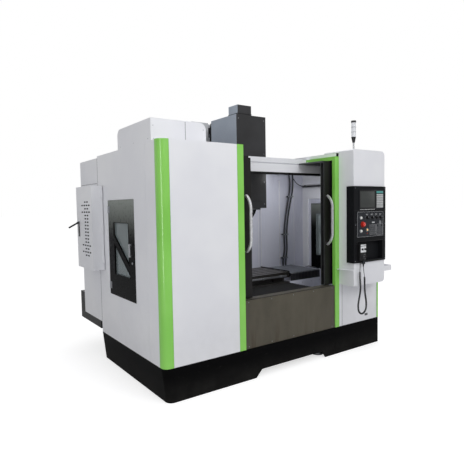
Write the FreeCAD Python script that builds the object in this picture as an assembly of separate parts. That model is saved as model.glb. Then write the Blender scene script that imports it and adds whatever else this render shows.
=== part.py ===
import FreeCAD, Part
import math
import os

# CNC machining center: a vertical three-axis milling machine in a sheet-metal enclosure.
# Layout frame (mm): X to the right from the left wall, Y back from the front plane, Z up from
# the floor. Every node is shifted by ORIGIN on export, so the row frame has its origin on the
# floor at the centre of the whole machine.

os.makedirs("parts", exist_ok=True)

V = FreeCAD.Vector

# --- enclosure ---
WIDTH = 2600.0
SHEET = 3.0
GAP = 2.0
BASE_TOP = 274.0
BASE_DEPTH = 1365.0
BASE_SHEET = 8.0
BASE_TAPER = 30.0
TOP = 2026.0
REAR = 1913.0
REAR_BOTTOM = 377.0
REAR_TOP = 2010.0
DUCT_REAR = 2050.0
POST_RADIUS = 55.0
PANEL_LEFT = 85.0
TRIM_LEFT = 717.0
DOORWAY_LEFT = 781.0
DOORWAY_RIGHT = 1911.0
POST_RIGHT = 1969.0
POST_TOP = 1986.0
APRON_TOP = 699.0
BEAM_FRONT = 395.0
BEAM_BOTTOM = 1845.0
BEAM_TOP = 1990.0
BACK_WALL = 1150.0
HOOD_RIGHT = 496.0
HOOD_FRONT = 127.0
HOOD_REAR = 805.0
HOOD_TOP = 2198.0

# --- machine ---
CENTRE_X = 1346.0
SPINDLE_Y = 760.0
BED_TOP = 560.0
SADDLE_TOP = 700.0
TABLE_TOP = 800.0
TABLE_LEFT = 850.0
TABLE_RIGHT = 1750.0
TABLE_FRONT = 502.0
TABLE_REAR = 982.0
SADDLE_LEFT = 466.0
SADDLE_RIGHT = 2226.0
SADDLE_FRONT = 480.0
SADDLE_REAR = 1004.0
AXIS_Y = 742.0
COLUMN_FRONT = 1290.0
COLUMN_REAR = 1810.0
COLUMN_HALF = 300.0
COLUMN_TOP = 2455.0
HEAD_LEFT = 1158.0
HEAD_RIGHT = 1534.0
HEAD_FRONT = 605.0
HEAD_REAR = 1065.0
HEAD_BOTTOM = 1488.0
HEAD_TOP = 2430.0
NOSE = 1398.0
NECK_BOTTOM = 1780.0
SCREW_RADIUS = 20.0
X_SCREW_RADIUS = 15.0
FIT = 0.06
RAIL_CLEAR = 0.5
Z_SCREW_Y = 1256.0
X_SCREW_Z = 722.0
Y_SCREW_Z = 600.0

# --- tool changer ---
ARM_X = 1016.0
ARM_REACH = 330.0
ARM_BOTTOM = 1350.0
ARM_THICK = 22.0
DISC_Z = 1740.0
DISC_RADIUS = 265.0
POT_CIRCLE = 228.0
POT_COUNT = 16

# --- doors ---
DOOR_FRONT = 60.0
DOOR_BACK = 108.0
DOOR_BOTTOM = 706.0
DOOR_TOP = 1930.0
STILE = 125.0
LEFT_DOOR_EDGE = 905.0
RIGHT_DOOR_EDGE = 1822.0
DOOR_WIDTH = 620.0
HANDLE_Z = (1105.0, 1612.0)
HANDLE_DEPTH = 66.0
HANDLE_THICK = 13.0
HANDLE_HALF = 11.0
HANDLE_INSET = 52.0
BOW_SHARE = 0.8
SIDE_DOOR = (493.0, 1090.0)
RIGHT_SIDE_DOOR = (418.0, 1015.0)
SIDE_DOOR_Z = (706.0, 1586.0)
CABINET_DOOR_Y = (1226.0, 1704.0)
CABINET_DOOR_Z = (915.0, 1733.0)
CABINET_DOOR_FACE = -115.0

# --- operator station ---
CAB_RIGHT = 2452.0
CAB_FRONT = -184.0
CAB_BOTTOM = 709.0
CAB_TOP = 2043.0
BOX_LEFT = 1957.0
BOX_FRONT = -200.0
BOX_BACK = -107.0
BOX_BOTTOM = 937.0
BOX_TOP = 1685.0
POCKET = (2004.0, 2400.0, 955.0, 1142.0)
TRAY_RIGHT = 2572.0
E_STOP = (2080.0, 1313.0)
START = (2054.0, 1377.0)
STOP = (2054.0, 1248.0)
KNOBS = {"mode_knob": (2147.0, 1377.0), "feed_knob": (2222.0, 1377.0),
         "rapid_knob": (2290.0, 1376.0), "spindle_knob": (2356.0, 1375.0)}
KEY = (2356.0, 1325.0)
PENDANT = (2012.0, 2098.0, -232.0, -156.0, 962.0, 1122.0)
WHEEL = (2062.0, 1000.0)
SELECTORS = {"pendant_axis_knob": (2036.0, 1072.0), "pendant_step_knob": (2077.0, 1072.0)}
CORD_RADIUS = 9.5
CORD_ROUTE = [(2026, -218, 962), (2026, -218, 922), (2023, -215, 872), (2027, -211, 812),
              (2038, -208, 745), (2043, -208, 680), (2030, -209, 618), (2008, -212, 562),
              (1994, -216, 512), (1996, -220, 468), (2023, -223, 438), (2064, -225, 436),
              (2094, -228, 464), (2100, -232, 508), (2090, -237, 568), (2068, -242, 630),
              (2058, -244, 694), (2064, -240, 758), (2074, -229, 816), (2077, -214, 868),
              (2077, -214, 925)]
LAMP = (2318.0, 100.0)

# --- hoses clipped to the back wall ---
HOSE_RADIUS = 10.0
HOSE_PATHS = [
    [(2322, 1118, 2023), (2322, 1118, 1925), (2351, 1118, 1815), (2343, 1118, 1690), (2304, 1118, 1530),
     (2262, 1118, 1340), (2242, 1118, 1150), (2250, 1118, 960), (2222, 1118, 830), (2222, 1118, 728)],
    [(2392, 1118, 2023), (2392, 1118, 1915), (2400, 1118, 1800), (2390, 1118, 1690), (2348, 1118, 1530),
     (2304, 1118, 1340), (2283, 1118, 1150), (2291, 1118, 960), (2266, 1118, 830), (2266, 1118, 728)]]
CLIP_HEIGHTS = (1620, 1150, 860)

# The origin lies midway between the lever's tip on the rear cabinet and the right corner strip,
# and midway between the pendant's crank in front and the cable duct behind.
CORNER_STRIP_RIGHT = 2605.0
LEVER_PIVOT = V(CABINET_DOOR_FACE - 14, 1634, 1370)
LEVER_ANGLE = math.radians(62)
LEVER_REACH = 103.0
LEVER_HALF = 7.0
LEVER_LEFT = LEVER_PIVOT.x - LEVER_REACH * math.sin(LEVER_ANGLE) - LEVER_HALF * math.cos(LEVER_ANGLE)
CRANK_FRONT = PENDANT[2] - 23
ORIGIN = V((CORNER_STRIP_RIGHT + LEVER_LEFT) / 2, (DUCT_REAR + CRANK_FRONT) / 2, 0)


def box(x0, x1, y0, y1, z0, z1):
    return Part.makeBox(x1 - x0, y1 - y0, z1 - z0, V(x0, y0, z0))


def rod(start, end, radius):
    a, b = V(*start), V(*end)
    return Part.makeCylinder(radius, (b - a).Length, a, b - a)


def ring(start, end, radius, bore):
    return rod(start, end, radius).cut(rod(start, end, bore))


def fuse(shapes):
    shapes = list(shapes)
    return shapes[0].multiFuse(shapes[1:]).removeSplitter()


def cut(shape, tools):
    return shape.cut(Part.makeCompound(list(tools)))


def edges_along(shape, axis, tests):
    """Straight edges parallel to the axis whose midpoint passes one of the tests."""
    found = []
    for edge in shape.Edges:
        a, b = edge.Vertexes[0].Point, edge.Vertexes[-1].Point
        line = b - a
        if line.Length < 1e-6 or abs(abs(getattr(line, axis)) - line.Length) > 1e-3:
            continue
        middle = (a + b) * 0.5
        if any(all(abs(getattr(middle, k) - v) < 0.5 for k, v in test.items()) for test in tests):
            found.append(edge)
    return found


def rounded(shape, radius, axis, *tests):
    return shape.makeFillet(radius, edges_along(shape, axis, tests))


def prism(points, direction, length):
    """A closed flat outline pushed along a direction."""
    corners = [V(*p) for p in points]
    face = Part.Face(Part.makePolygon(corners + corners[:1]))
    return face.extrude(V(*direction) * length)


def arc_path(points, share=0.45):
    """Straight runs joined by tangent arcs, as a wire, and the list of arc radii."""
    pts = [V(*p) for p in points]
    edges, radii, start = [], [], pts[0]
    for before, here, after in zip(pts, pts[1:], pts[2:]):
        u = (here - before).normalize()
        w = (after - here).normalize()
        turn = u.getAngle(w)
        reach = share * min((here - before).Length, (after - here).Length)
        radius = reach / math.tan(turn / 2)
        a, b = here - u * reach, here + w * reach
        centre = here + (w - u).normalize() * math.hypot(radius, reach)
        middle = centre + (here - centre).normalize() * radius
        edges.append(Part.LineSegment(start, a).toShape())
        edges.append(Part.Arc(a, middle, b).toShape())
        radii.append(round(radius, 1))
        start = b
    edges.append(Part.LineSegment(start, pts[-1]).toShape())
    return Part.Wire(edges), radii


def hose(points, radius):
    wire, radii = arc_path(points)
    first = V(*points[1]) - V(*points[0])
    profile = Part.Wire(Part.makeCircle(radius, V(*points[0]), first))
    solid = wire.makePipeShell([profile], True, False)
    return solid, wire.Length, radii


def write(node, shape):
    moved = shape.copy()
    moved.translate(ORIGIN * -1)
    for solid in moved.Solids:
        if not solid.isValid() or solid.Volume <= 0:
            print("BAD SOLID", node)
    moved.exportStep("parts/%s.step" % node)
    b = moved.BoundBox
    print("%-22s solids %2d  volume %9.4f dm3  x %7.1f..%7.1f y %7.1f..%7.1f z %7.1f..%7.1f" % (
        node, len(moved.Solids), moved.Volume / 1e6, b.XMin, b.XMax, b.YMin, b.YMax, b.ZMin, b.ZMax))


# ---------------------------------------------------------------- base

def tapered_outline(z, inset, offset):
    """Base outline at one height: rounded at the front left corner, leaning in on the left."""
    left, right = inset + offset, DOORWAY_RIGHT - GAP / 2 - offset
    front, rear = offset, BASE_DEPTH - offset
    r = POST_RADIUS - offset
    bend = r * (1 - math.sqrt(0.5))
    edges = [Part.LineSegment(V(left + r, front, z), V(right, front, z)),
             Part.LineSegment(V(right, front, z), V(right, rear, z)),
             Part.LineSegment(V(right, rear, z), V(left, rear, z)),
             Part.LineSegment(V(left, rear, z), V(left, front + r, z)),
             Part.Arc(V(left, front + r, z), V(left + bend, front + bend, z), V(left + r, front, z))]
    return Part.Wire([edge.toShape() for edge in edges])


def base_skirt():
    outer = Part.makeLoft([tapered_outline(0, BASE_TAPER, 0), tapered_outline(BASE_TOP, 0, 0)], True)
    inner = Part.makeLoft([tapered_outline(0, BASE_TAPER, BASE_SHEET),
                           tapered_outline(BASE_TOP, 0, BASE_SHEET)], True)
    arch = prism([(889, -20, -1), (957, -20, 66), (1719, -20, 66), (1765, -20, -1)], (0, 1, 0), 60)
    bed_gap = box(CENTRE_X - 512, CENTRE_X + 512, BASE_DEPTH - 60, BASE_DEPTH + 20, -1, BASE_TOP + 1)
    main = cut(outer, [inner, arch, bed_gap])
    left, right = DOORWAY_RIGHT + GAP / 2, WIDTH - 3
    side = box(left, right, 0, BASE_DEPTH, 0, BASE_TOP)
    side = cut(side, [box(left + BASE_SHEET, right - BASE_SHEET, BASE_SHEET, BASE_DEPTH - BASE_SHEET,
                          -1, BASE_TOP + 1)])
    return Part.makeCompound([main, side])


def levelling_feet():
    spots = [(CENTRE_X - 440, 130), (CENTRE_X + 440, 130), (CENTRE_X - 440, 960),
             (CENTRE_X + 440, 960), (CENTRE_X - 386, 1770), (CENTRE_X + 386, 1770)]
    feet = []
    for x, y in spots:
        pad = rod((x, y, 0), (x, y, 22), 60)
        feet.append(fuse([pad, rod((x, y, 22), (x, y, 60), 16)]))
    return Part.makeCompound(feet)


def bed_casting():
    bottom = 60.0
    body = box(CENTRE_X - 500, CENTRE_X + 500, 60, 1850, bottom, BED_TOP)
    tail_cuts = [box(CENTRE_X + side * 500 - (100 if side > 0 else 0),
                     CENTRE_X + side * 500 + (0 if side > 0 else 100), 1250, 1860, bottom - 1, BED_TOP + 1)
                 for side in (-1, 1)]
    bays = [box(CENTRE_X - 440, CENTRE_X + 440, y0, y1, bottom - 1, BED_TOP - 60)
            for y0, y1 in ((100, 480), (520, 880), (920, 1200))]
    bays.append(box(CENTRE_X - 350, CENTRE_X + 350, 1250, 1800, bottom - 1, BED_TOP - 60))
    motor_notch = box(CENTRE_X - 75, CENTRE_X + 75, 50, 190, BED_TOP - 30, BED_TOP + 1)
    body = cut(body, tail_cuts + bays + [motor_notch])
    pads = [box(x, x + 100, 200, 1250, BED_TOP - 1, BED_TOP + 20) for x in (CENTRE_X - 346, CENTRE_X + 246)]
    seat = box(CENTRE_X - 390, CENTRE_X + 390, 1275, 1850, BED_TOP - 1, 620)
    bearings = [box(CENTRE_X - 38, CENTRE_X + 38, y, y + 34, BED_TOP - 1, 634) for y in (190, 1205)]
    bore = rod((CENTRE_X, 180, Y_SCREW_Z), (CENTRE_X, 1250, Y_SCREW_Z), SCREW_RADIUS + FIT)
    return cut(fuse([body, seat] + pads + bearings), [bore])


def column_casting():
    x0, x1 = CENTRE_X - COLUMN_HALF, CENTRE_X + COLUMN_HALF
    body = box(x0, x1, COLUMN_FRONT, COLUMN_REAR, 620, COLUMN_TOP)
    core = box(x0 + 40, x1 - 40, COLUMN_FRONT + 40, COLUMN_REAR + 1, 700, 2240)
    motor_recess = box(CENTRE_X - 82, CENTRE_X + 82, COLUMN_FRONT - 1, 1350, 2296, COLUMN_TOP + 1)
    body = cut(body, [core, motor_recess])
    pads = [box(x, x + 70, 1270, COLUMN_FRONT, 880, 2260) for x in (CENTRE_X - 245, CENTRE_X + 175)]
    bearings = [box(CENTRE_X - 45, CENTRE_X + 45, 1226, COLUMN_FRONT, z, z + 40) for z in (1150, 2250)]
    bore = rod((CENTRE_X, Z_SCREW_Y, 1100), (CENTRE_X, Z_SCREW_Y, 2295), SCREW_RADIUS + FIT)
    return cut(fuse([body] + pads + bearings), [bore])


def fixed_guide_rails():
    rails = [box(x - 18, x + 18, 210, 1240, BED_TOP + 20, 612) for x in (CENTRE_X - 296, CENTRE_X + 296)]
    rails += [box(x - 22, x + 22, 1240, 1270, 900, 2250) for x in (CENTRE_X - 210, CENTRE_X + 210)]
    return Part.makeCompound(rails)


def axis_motor(centre, direction, size, length):
    """A square servo motor with a round rear cover; its flange face is at the centre point."""
    c, d = V(*centre), V(*direction)
    across = [V(1, 0, 0), V(0, 1, 0), V(0, 0, 1)]
    across = [a for a in across if abs(a.dot(d)) < 0.5]
    corner = c - (across[0] + across[1]) * (size / 2)
    body_length = length * 0.72
    ends = [corner, corner + across[0] * size, corner + (across[0] + across[1]) * size,
            corner + across[1] * size]
    body = Part.Face(Part.makePolygon(ends + ends[:1])).extrude(d * body_length)
    return fuse([body, Part.makeCylinder(size * 0.46, length, c, d)])


def fixed_axis_motors():
    y_motor = axis_motor((CENTRE_X, 188, Y_SCREW_Z), (0, -1, 0), 118, 108)
    z_motor = axis_motor((CENTRE_X, Z_SCREW_Y, 2298), (0, 0, 1), 140, 150)
    bracket = box(CENTRE_X - 78, CENTRE_X + 78, 1180, COLUMN_FRONT + 58, 2290, 2297.5)
    bracket = cut(bracket, [box(CENTRE_X - 100, CENTRE_X + 100, COLUMN_FRONT - 0.5, 1400, 2280, 2296)])
    flange = rod((CENTRE_X, Z_SCREW_Y, 2292), (CENTRE_X, Z_SCREW_Y, 2300), 33)
    return Part.makeCompound([y_motor, fuse([z_motor, bracket, flange])])


# ---------------------------------------------------------------- axes

def screw(start, end, radius):
    """A ball screw with a reduced journal at each end."""
    a, b = V(*start), V(*end)
    d = (b - a).normalize()
    neck = d * 6
    body = Part.makeCylinder(radius, (b - a).Length - 12, a + neck, d)
    journals = Part.makeCylinder(radius * 0.6, (b - a).Length, a, d)
    return fuse([body, journals])


def saddle():
    slab = box(SADDLE_LEFT, SADDLE_RIGHT, SADDLE_FRONT, SADDLE_REAR, 640, SADDLE_TOP)
    skirts = []
    for x0, x1 in ((SADDLE_LEFT, 940), (1752, SADDLE_RIGHT)):
        for y in (SADDLE_FRONT, SADDLE_REAR - 24):
            skirts.append(box(x0, x1, y, y + 24, 574, 641))
    blocks = []
    for x in (CENTRE_X - 296, CENTRE_X + 296):
        for y in (530, 850):
            outer = box(x - 50, x + 50, y, y + 110, 588, 641)
            blocks.append(outer)
    nut = box(CENTRE_X - 42, CENTRE_X + 42, 700, 784, 567, 641)
    ends = [box(SADDLE_LEFT, SADDLE_LEFT + 20, SADDLE_FRONT + 4, SADDLE_REAR - 28, SADDLE_TOP - 1, 784),
            box(SADDLE_RIGHT - 20, SADDLE_RIGHT, SADDLE_FRONT + 4, SADDLE_REAR - 28, SADDLE_TOP - 1, 784)]
    rear_cover = box(950, 1742, SADDLE_REAR - 1, 1154, 680, 684)
    body = fuse([slab, nut, rear_cover] + skirts + blocks + ends)
    grooves = [box(x - 18 - RAIL_CLEAR, x + 18 + RAIL_CLEAR, 500, 1000, 570, 612 + RAIL_CLEAR)
               for x in (CENTRE_X - 296, CENTRE_X + 296)]
    y_bore = rod((CENTRE_X, 600, Y_SCREW_Z), (CENTRE_X, 900, Y_SCREW_Z), SCREW_RADIUS + FIT)
    x_bore = rod((400, AXIS_Y, X_SCREW_Z), (2300, AXIS_Y, X_SCREW_Z), X_SCREW_RADIUS + FIT)
    return cut(body, grooves + [y_bore, x_bore])


def saddle_rails():
    return [box(SADDLE_LEFT + 24, SADDLE_RIGHT - 24, y - 16, y + 16, SADDLE_TOP, 728) for y in (590, 894)]


def table():
    slab = box(TABLE_LEFT, TABLE_RIGHT, TABLE_FRONT, TABLE_REAR, 742, TABLE_TOP)
    slots = []
    for row in range(5):
        y = AXIS_Y + (row - 2) * 90
        slots.append(box(TABLE_LEFT - 5, TABLE_RIGHT + 5, y - 9, y + 9, TABLE_TOP - 32, TABLE_TOP + 1))
        slots.append(box(TABLE_LEFT - 5, TABLE_RIGHT + 5, y - 15, y + 15, TABLE_TOP - 32, TABLE_TOP - 18))
    blocks = []
    for y in (590, 894):
        for x in (TABLE_LEFT + 60, TABLE_RIGHT - 180):
            blocks.append(box(x, x + 120, y - 44, y + 44, 704, 743))
    nut = box(1280, 1360, AXIS_Y - 34, AXIS_Y + 34, 703, 743)
    body = cut(fuse([slab, nut] + blocks), slots)
    grooves = [box(TABLE_LEFT, TABLE_RIGHT, y - 16 - RAIL_CLEAR, y + 16 + RAIL_CLEAR, 702, 728 + RAIL_CLEAR)
               for y in (590, 894)]
    bore = rod((1200, AXIS_Y, X_SCREW_Z), (1500, AXIS_Y, X_SCREW_Z), X_SCREW_RADIUS + FIT)
    return cut(body, grooves + [bore])


def cover_shell(x0, x1, y0, y1, z0, z1, wall, axis):
    """An upside-down trough over the guides, open at both ends along its axis."""
    inner = {"x": (x0 - 1, x1 + 1, y0 + wall, y1 - wall), "y": (x0 + wall, x1 - wall, y0 - 1, y1 + 1)}[axis]
    return box(x0, x1, y0, y1, z0, z1).cut(box(*inner, z0 - 1, z1 - wall))


def head_casting():
    plate = box(CENTRE_X - 256, CENTRE_X + 256, 1185, 1222, 1560, 2160)
    blocks = [box(x - 45, x + 45, 1221, 1263, z, z + 110) for x in (CENTRE_X - 210, CENTRE_X + 210)
              for z in (1590, 2020)]
    nut = box(CENTRE_X - 42, CENTRE_X + 42, 1221, 1284, 1800, 1880)
    front = box(CENTRE_X - 150, CENTRE_X + 150, 640, 1060, 1560, 2100)
    neck = box(CENTRE_X - 150, CENTRE_X + 150, 1059, 1186, NECK_BOTTOM, 2100)
    bosses = [box(HEAD_LEFT + SHEET, HEAD_RIGHT - SHEET, y, y + 50, z, z + 50)
              for y in (700, 960) for z in (1640, 2000)]
    housing = rod((CENTRE_X, SPINDLE_Y, 1442), (CENTRE_X, SPINDLE_Y, 1570), 100)
    motor_seat = box(1176, 1360, 640, 800, 2060, 2108)
    body = fuse([plate, front, neck, nut, motor_seat, housing] + blocks + bosses)
    grooves = [box(x - 22 - RAIL_CLEAR, x + 22 + RAIL_CLEAR, 1240 - RAIL_CLEAR, 1270, 1500, 2200)
               for x in (CENTRE_X - 210, CENTRE_X + 210)]
    screw_bore = rod((CENTRE_X, Z_SCREW_Y, 1700), (CENTRE_X, Z_SCREW_Y, 1950), SCREW_RADIUS + FIT)
    spindle_bore = rod((CENTRE_X, SPINDLE_Y, 1400), (CENTRE_X, SPINDLE_Y, 1760), 55 + FIT)
    hollow = box(CENTRE_X - 110, CENTRE_X + 110, 880, 1020, 1540, 2050)
    return cut(body, grooves + [screw_bore, spindle_bore, hollow])


def spindle():
    nose = rod((CENTRE_X, SPINDLE_Y, NOSE), (CENTRE_X, SPINDLE_Y, 1441), 64)
    shaft = rod((CENTRE_X, SPINDLE_Y, 1440), (CENTRE_X, SPINDLE_Y, 1750), 55)
    taper = Part.makeCone(22.2, 12.7, 65, V(CENTRE_X, SPINDLE_Y, NOSE), V(0, 0, 1))
    keys = [box(CENTRE_X + side * 44 - 12, CENTRE_X + side * 44 + 12, SPINDLE_Y - 8, SPINDLE_Y + 8,
                NOSE - 8, NOSE + 1) for side in (-1, 1)]
    return cut(fuse([nose, shaft] + keys), [taper])


def spindle_motor():
    body = box(1180, 1356, 612, 772, 2108, 2525)
    return body.makeFillet(8, edges_along(body, "z", [{"x": x, "y": y} for x in (1180, 1356)
                                                     for y in (612, 772)]))


def head_cover():
    outer = box(HEAD_LEFT, HEAD_RIGHT, HEAD_FRONT, HEAD_REAR, HEAD_BOTTOM, HEAD_TOP)
    inner = box(HEAD_LEFT + SHEET, HEAD_RIGHT - SHEET, HEAD_FRONT + SHEET, HEAD_REAR + 1,
                HEAD_BOTTOM + SHEET, HEAD_TOP - SHEET)
    spindle_hole = rod((CENTRE_X, SPINDLE_Y, 1480), (CENTRE_X, SPINDLE_Y, 1500), 112)
    motor_hole = box(1176, 1360, HEAD_FRONT + 5, 776, HEAD_TOP - 10, HEAD_TOP + 1)
    cover = cut(outer, [inner, spindle_hole, motor_hole])
    shutter = box(CENTRE_X - 188, CENTRE_X + 188, 1100, 1103, 1286, 2300)
    flange = box(CENTRE_X - 150, CENTRE_X + 150, 1100, 1180, NECK_BOTTOM - SHEET, NECK_BOTTOM)
    neck_hole = box(CENTRE_X - 152, CENTRE_X + 152, 1090, 1110, NECK_BOTTOM, 2102)
    return Part.makeCompound([cover, cut(fuse([shutter, flange]), [neck_hole])])


# ---------------------------------------------------------------- tool changer

def changer_frame():
    beam = box(986, 1046, 905, 1600, 1640, 1800)
    cross = box(660, 1046, 905, 960, 1640, 1800)
    plate = box(660, 684, 700, 961, 1640, 1840)
    hub = rod((640, SPINDLE_Y, DISC_Z), (684, SPINDLE_Y, DISC_Z), 70)
    drive = box(ARM_X - 90, ARM_X + 90, 665, 906, 1470, 1800)
    shaft_bore = rod((ARM_X, SPINDLE_Y, 1400), (ARM_X, SPINDLE_Y, 1760), 25 + FIT)
    hub_bore = rod((500, SPINDLE_Y, DISC_Z), (700, SPINDLE_Y, DISC_Z), 30 + FIT)
    return cut(fuse([beam, cross, plate, hub, drive]), [shaft_bore, hub_bore])


def magazine_disc():
    disc = rod((520, SPINDLE_Y, DISC_Z), (545, SPINDLE_Y, DISC_Z), DISC_RADIUS)
    shaft = rod((520, SPINDLE_Y, DISC_Z), (684, SPINDLE_Y, DISC_Z), 30)
    pots = []
    for index in range(POT_COUNT):
        angle = 2 * math.pi * (index + 0.5) / POT_COUNT
        y = SPINDLE_Y + POT_CIRCLE * math.sin(angle)
        z = DISC_Z + POT_CIRCLE * math.cos(angle)
        pots.append(rod((544, y, z), (620, y, z), 33))
        pots.append(rod((619, y, z), (638, y, z), 24))
    windows = []
    for index in range(6):
        angle = math.pi * index / 3
        y = SPINDLE_Y + 118 * math.sin(angle)
        z = DISC_Z + 118 * math.cos(angle)
        windows.append(rod((510, y, z), (560, y, z), 38))
    return cut(fuse([disc, shaft] + pots), windows)


def arm_shaft():
    z0, z1 = ARM_BOTTOM, ARM_BOTTOM + ARM_THICK
    shaft = rod((ARM_X, SPINDLE_Y, z1 + 1), (ARM_X, SPINDLE_Y, 1750), 25)
    pin = rod((ARM_X, SPINDLE_Y, z0 - 9), (ARM_X, SPINDLE_Y, z1 + 2), 15)
    cap = rod((ARM_X, SPINDLE_Y, z0 - 9), (ARM_X, SPINDLE_Y, z0 - 1), 26)
    return fuse([shaft, pin, cap])


def tool_change_arm():
    """A double-ended arm, parked along Y, with a hooked gripper at each end."""
    z0, z1 = ARM_BOTTOM, ARM_BOTTOM + ARM_THICK
    bar = box(ARM_X - 30, ARM_X + 30, SPINDLE_Y - ARM_REACH + 40, SPINDLE_Y + ARM_REACH - 40, z0, z1)
    parts = [bar, rod((ARM_X, SPINDLE_Y, z0), (ARM_X, SPINDLE_Y, z1), 60)]
    hooks = [rod((ARM_X, SPINDLE_Y, z0 - 1), (ARM_X, SPINDLE_Y, z1 + 1), 15 + FIT)]
    for side in (-1, 1):
        y = SPINDLE_Y + side * ARM_REACH
        jaw = rod((ARM_X, y, z0), (ARM_X, y, z1), 55)
        parts.append(jaw.common(box(ARM_X - 60, ARM_X + 60, y - 60, y + 34, z0, z1)) if side > 0 else
                     jaw.common(box(ARM_X - 60, ARM_X + 60, y - 34, y + 60, z0, z1)))
        hooks.append(rod((ARM_X, y, z0 - 1), (ARM_X, y, z1 + 1), 32))
        mouth_end = ARM_X + side * 70
        hooks.append(box(min(ARM_X, mouth_end), max(ARM_X, mouth_end), y - 30, y + 30, z0 - 1, z1 + 1))
    return cut(fuse(parts), hooks)


# ---------------------------------------------------------------- enclosure

def left_corner_post():
    """A quarter-round green cover over the front left corner."""
    z0 = BASE_TOP
    outer = box(0, PANEL_LEFT - GAP, 0, POST_RADIUS + 20, z0, TOP + 2)
    outer = rounded(outer, POST_RADIUS, "z", {"x": 0, "y": 0})
    inner = box(4, PANEL_LEFT, 4, POST_RADIUS + 40, z0 - 1, TOP + 3)
    inner = rounded(inner, POST_RADIUS - 4, "z", {"x": 4, "y": 4})
    return outer.cut(inner)


def left_side_wall():
    front = POST_RADIUS + 22
    wall = box(0, SHEET, front, BASE_DEPTH, BASE_TOP, TOP)
    roof = box(0, DOORWAY_LEFT - GAP, front, BACK_WALL - GAP, TOP - SHEET, TOP)
    doorway = box(-1, 10, SIDE_DOOR[0] - 2, SIDE_DOOR[1] + 2, SIDE_DOOR_Z[0] - 2, SIDE_DOOR_Z[1] + 2)
    hood_hole = box(40, HOOD_RIGHT - 40, HOOD_FRONT + 40, HOOD_REAR - 40, TOP - 10, TOP + 1)
    groove = box(-1, 1.2, 244, 250, BASE_TOP, TOP + 1)
    sill = box(SHEET, 40, SIDE_DOOR[0] - 30, SIDE_DOOR[1] + 30, SIDE_DOOR_Z[0] - 30, SIDE_DOOR_Z[1] + 30)
    sill = sill.cut(box(0, 50, SIDE_DOOR[0] - 2, SIDE_DOOR[1] + 2, SIDE_DOOR_Z[0] - 2, SIDE_DOOR_Z[1] + 2))
    return cut(fuse([wall, roof, sill]), [doorway, hood_hole, groove])


def left_front_panel():
    z0 = BASE_TOP
    sheet = box(PANEL_LEFT, TRIM_LEFT - 1, 0, SHEET, z0, TOP + 2)
    returns = [box(PANEL_LEFT, PANEL_LEFT + SHEET, 0, 30, z0, TOP + 2),
               box(TRIM_LEFT - 1 - SHEET, TRIM_LEFT - 1, 0, 30, z0, TOP + 2),
               box(PANEL_LEFT, TRIM_LEFT - 1, 0, POST_RADIUS + 20, TOP - 1, TOP + 2)]
    strip = box(TRIM_LEFT, DOORWAY_LEFT, -2, 34, z0, TOP + 2)
    strip = strip.cut(box(TRIM_LEFT - 1, DOORWAY_LEFT - SHEET, SHEET - 2, 40, z0 - 1, TOP - 1))
    return Part.makeCompound([fuse([sheet] + returns), strip])


def apron_panel():
    x0, x1 = DOORWAY_LEFT + 1, DOORWAY_RIGHT - 1
    face = box(x0, x1, 6, 6 + SHEET, BASE_TOP, APRON_TOP)
    ledge = box(x0, x1, 6, DOOR_BACK + 6, APRON_TOP - SHEET, APRON_TOP)
    lip = box(x0, x1, DOOR_BACK + 3, DOOR_BACK + 6, APRON_TOP - 30, APRON_TOP)
    return fuse([face, ledge, lip])


def right_door_post():
    post = box(DOORWAY_RIGHT, POST_RIGHT, -2, 34, BASE_TOP, POST_TOP)
    header = box(DOORWAY_RIGHT, POST_RIGHT, -2, BEAM_FRONT - GAP, POST_TOP - 36, POST_TOP)
    hollow = box(DOORWAY_RIGHT + 4, POST_RIGHT - 4, 2, 40, BASE_TOP, POST_TOP - 40)
    return cut(fuse([post, header]), [hollow])


def right_column_panel():
    z0 = BASE_TOP
    front = box(POST_RIGHT + 1, WIDTH - 27, 0, SHEET, z0, TOP)
    strip = rounded(box(WIDTH - 26, CORNER_STRIP_RIGHT, -3, 30, z0, TOP), 14, "z",
                    {"x": CORNER_STRIP_RIGHT, "y": -3})
    wall = box(WIDTH - SHEET, WIDTH, 31, BASE_DEPTH, z0, TOP)
    roof = box(POST_RIGHT + 1, WIDTH, 31, BACK_WALL - GAP, TOP - SHEET, TOP)
    roof_front = box(POST_RIGHT + 1, WIDTH - 27, 0, 32, TOP - SHEET, TOP)
    door = (RIGHT_SIDE_DOOR[0] - 2, RIGHT_SIDE_DOOR[1] + 2, SIDE_DOOR_Z[0] - 2, SIDE_DOOR_Z[1] + 2)
    doorway = box(WIDTH - 10, WIDTH + 1, *door)
    sill = box(WIDTH - 40, WIDTH - SHEET, door[0] - 28, door[1] + 28, door[2] - 28, door[3] + 28)
    sill = sill.cut(box(WIDTH - 50, WIDTH, *door))
    return Part.makeCompound([cut(fuse([front, wall, roof, roof_front, sill]), [doorway]), strip])


def cross_beam():
    """A rolled guide beam for the door leaves, with a groove along its face."""
    x0, x1 = SHEET, WIDTH - SHEET
    outline = [(x0, BEAM_FRONT, BEAM_BOTTOM), (x0, BEAM_FRONT, 1930), (x0, BEAM_FRONT + 10, 1935),
               (x0, BEAM_FRONT + 10, 1941), (x0, BEAM_FRONT - 1, 1941), (x0, BEAM_FRONT - 1, BEAM_TOP),
               (x0, BEAM_FRONT + 60, BEAM_TOP), (x0, BEAM_FRONT + 60, BEAM_BOTTOM)]
    inner = box(x0 - 1, x1 + 1, BEAM_FRONT + 14, BEAM_FRONT + 56, BEAM_BOTTOM + 4, BEAM_TOP - 4)
    return prism(outline, (1, 0, 0), x1 - x0).cut(inner)


def folded_wall(points, z0, z1):
    """A vertical sheet that follows a bent line in plan."""
    back = [(x, y + SHEET) for x, y in reversed(points)]
    return prism([(x, y, z0) for x, y in points + back], (0, 0, 1), z1 - z0)


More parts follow.
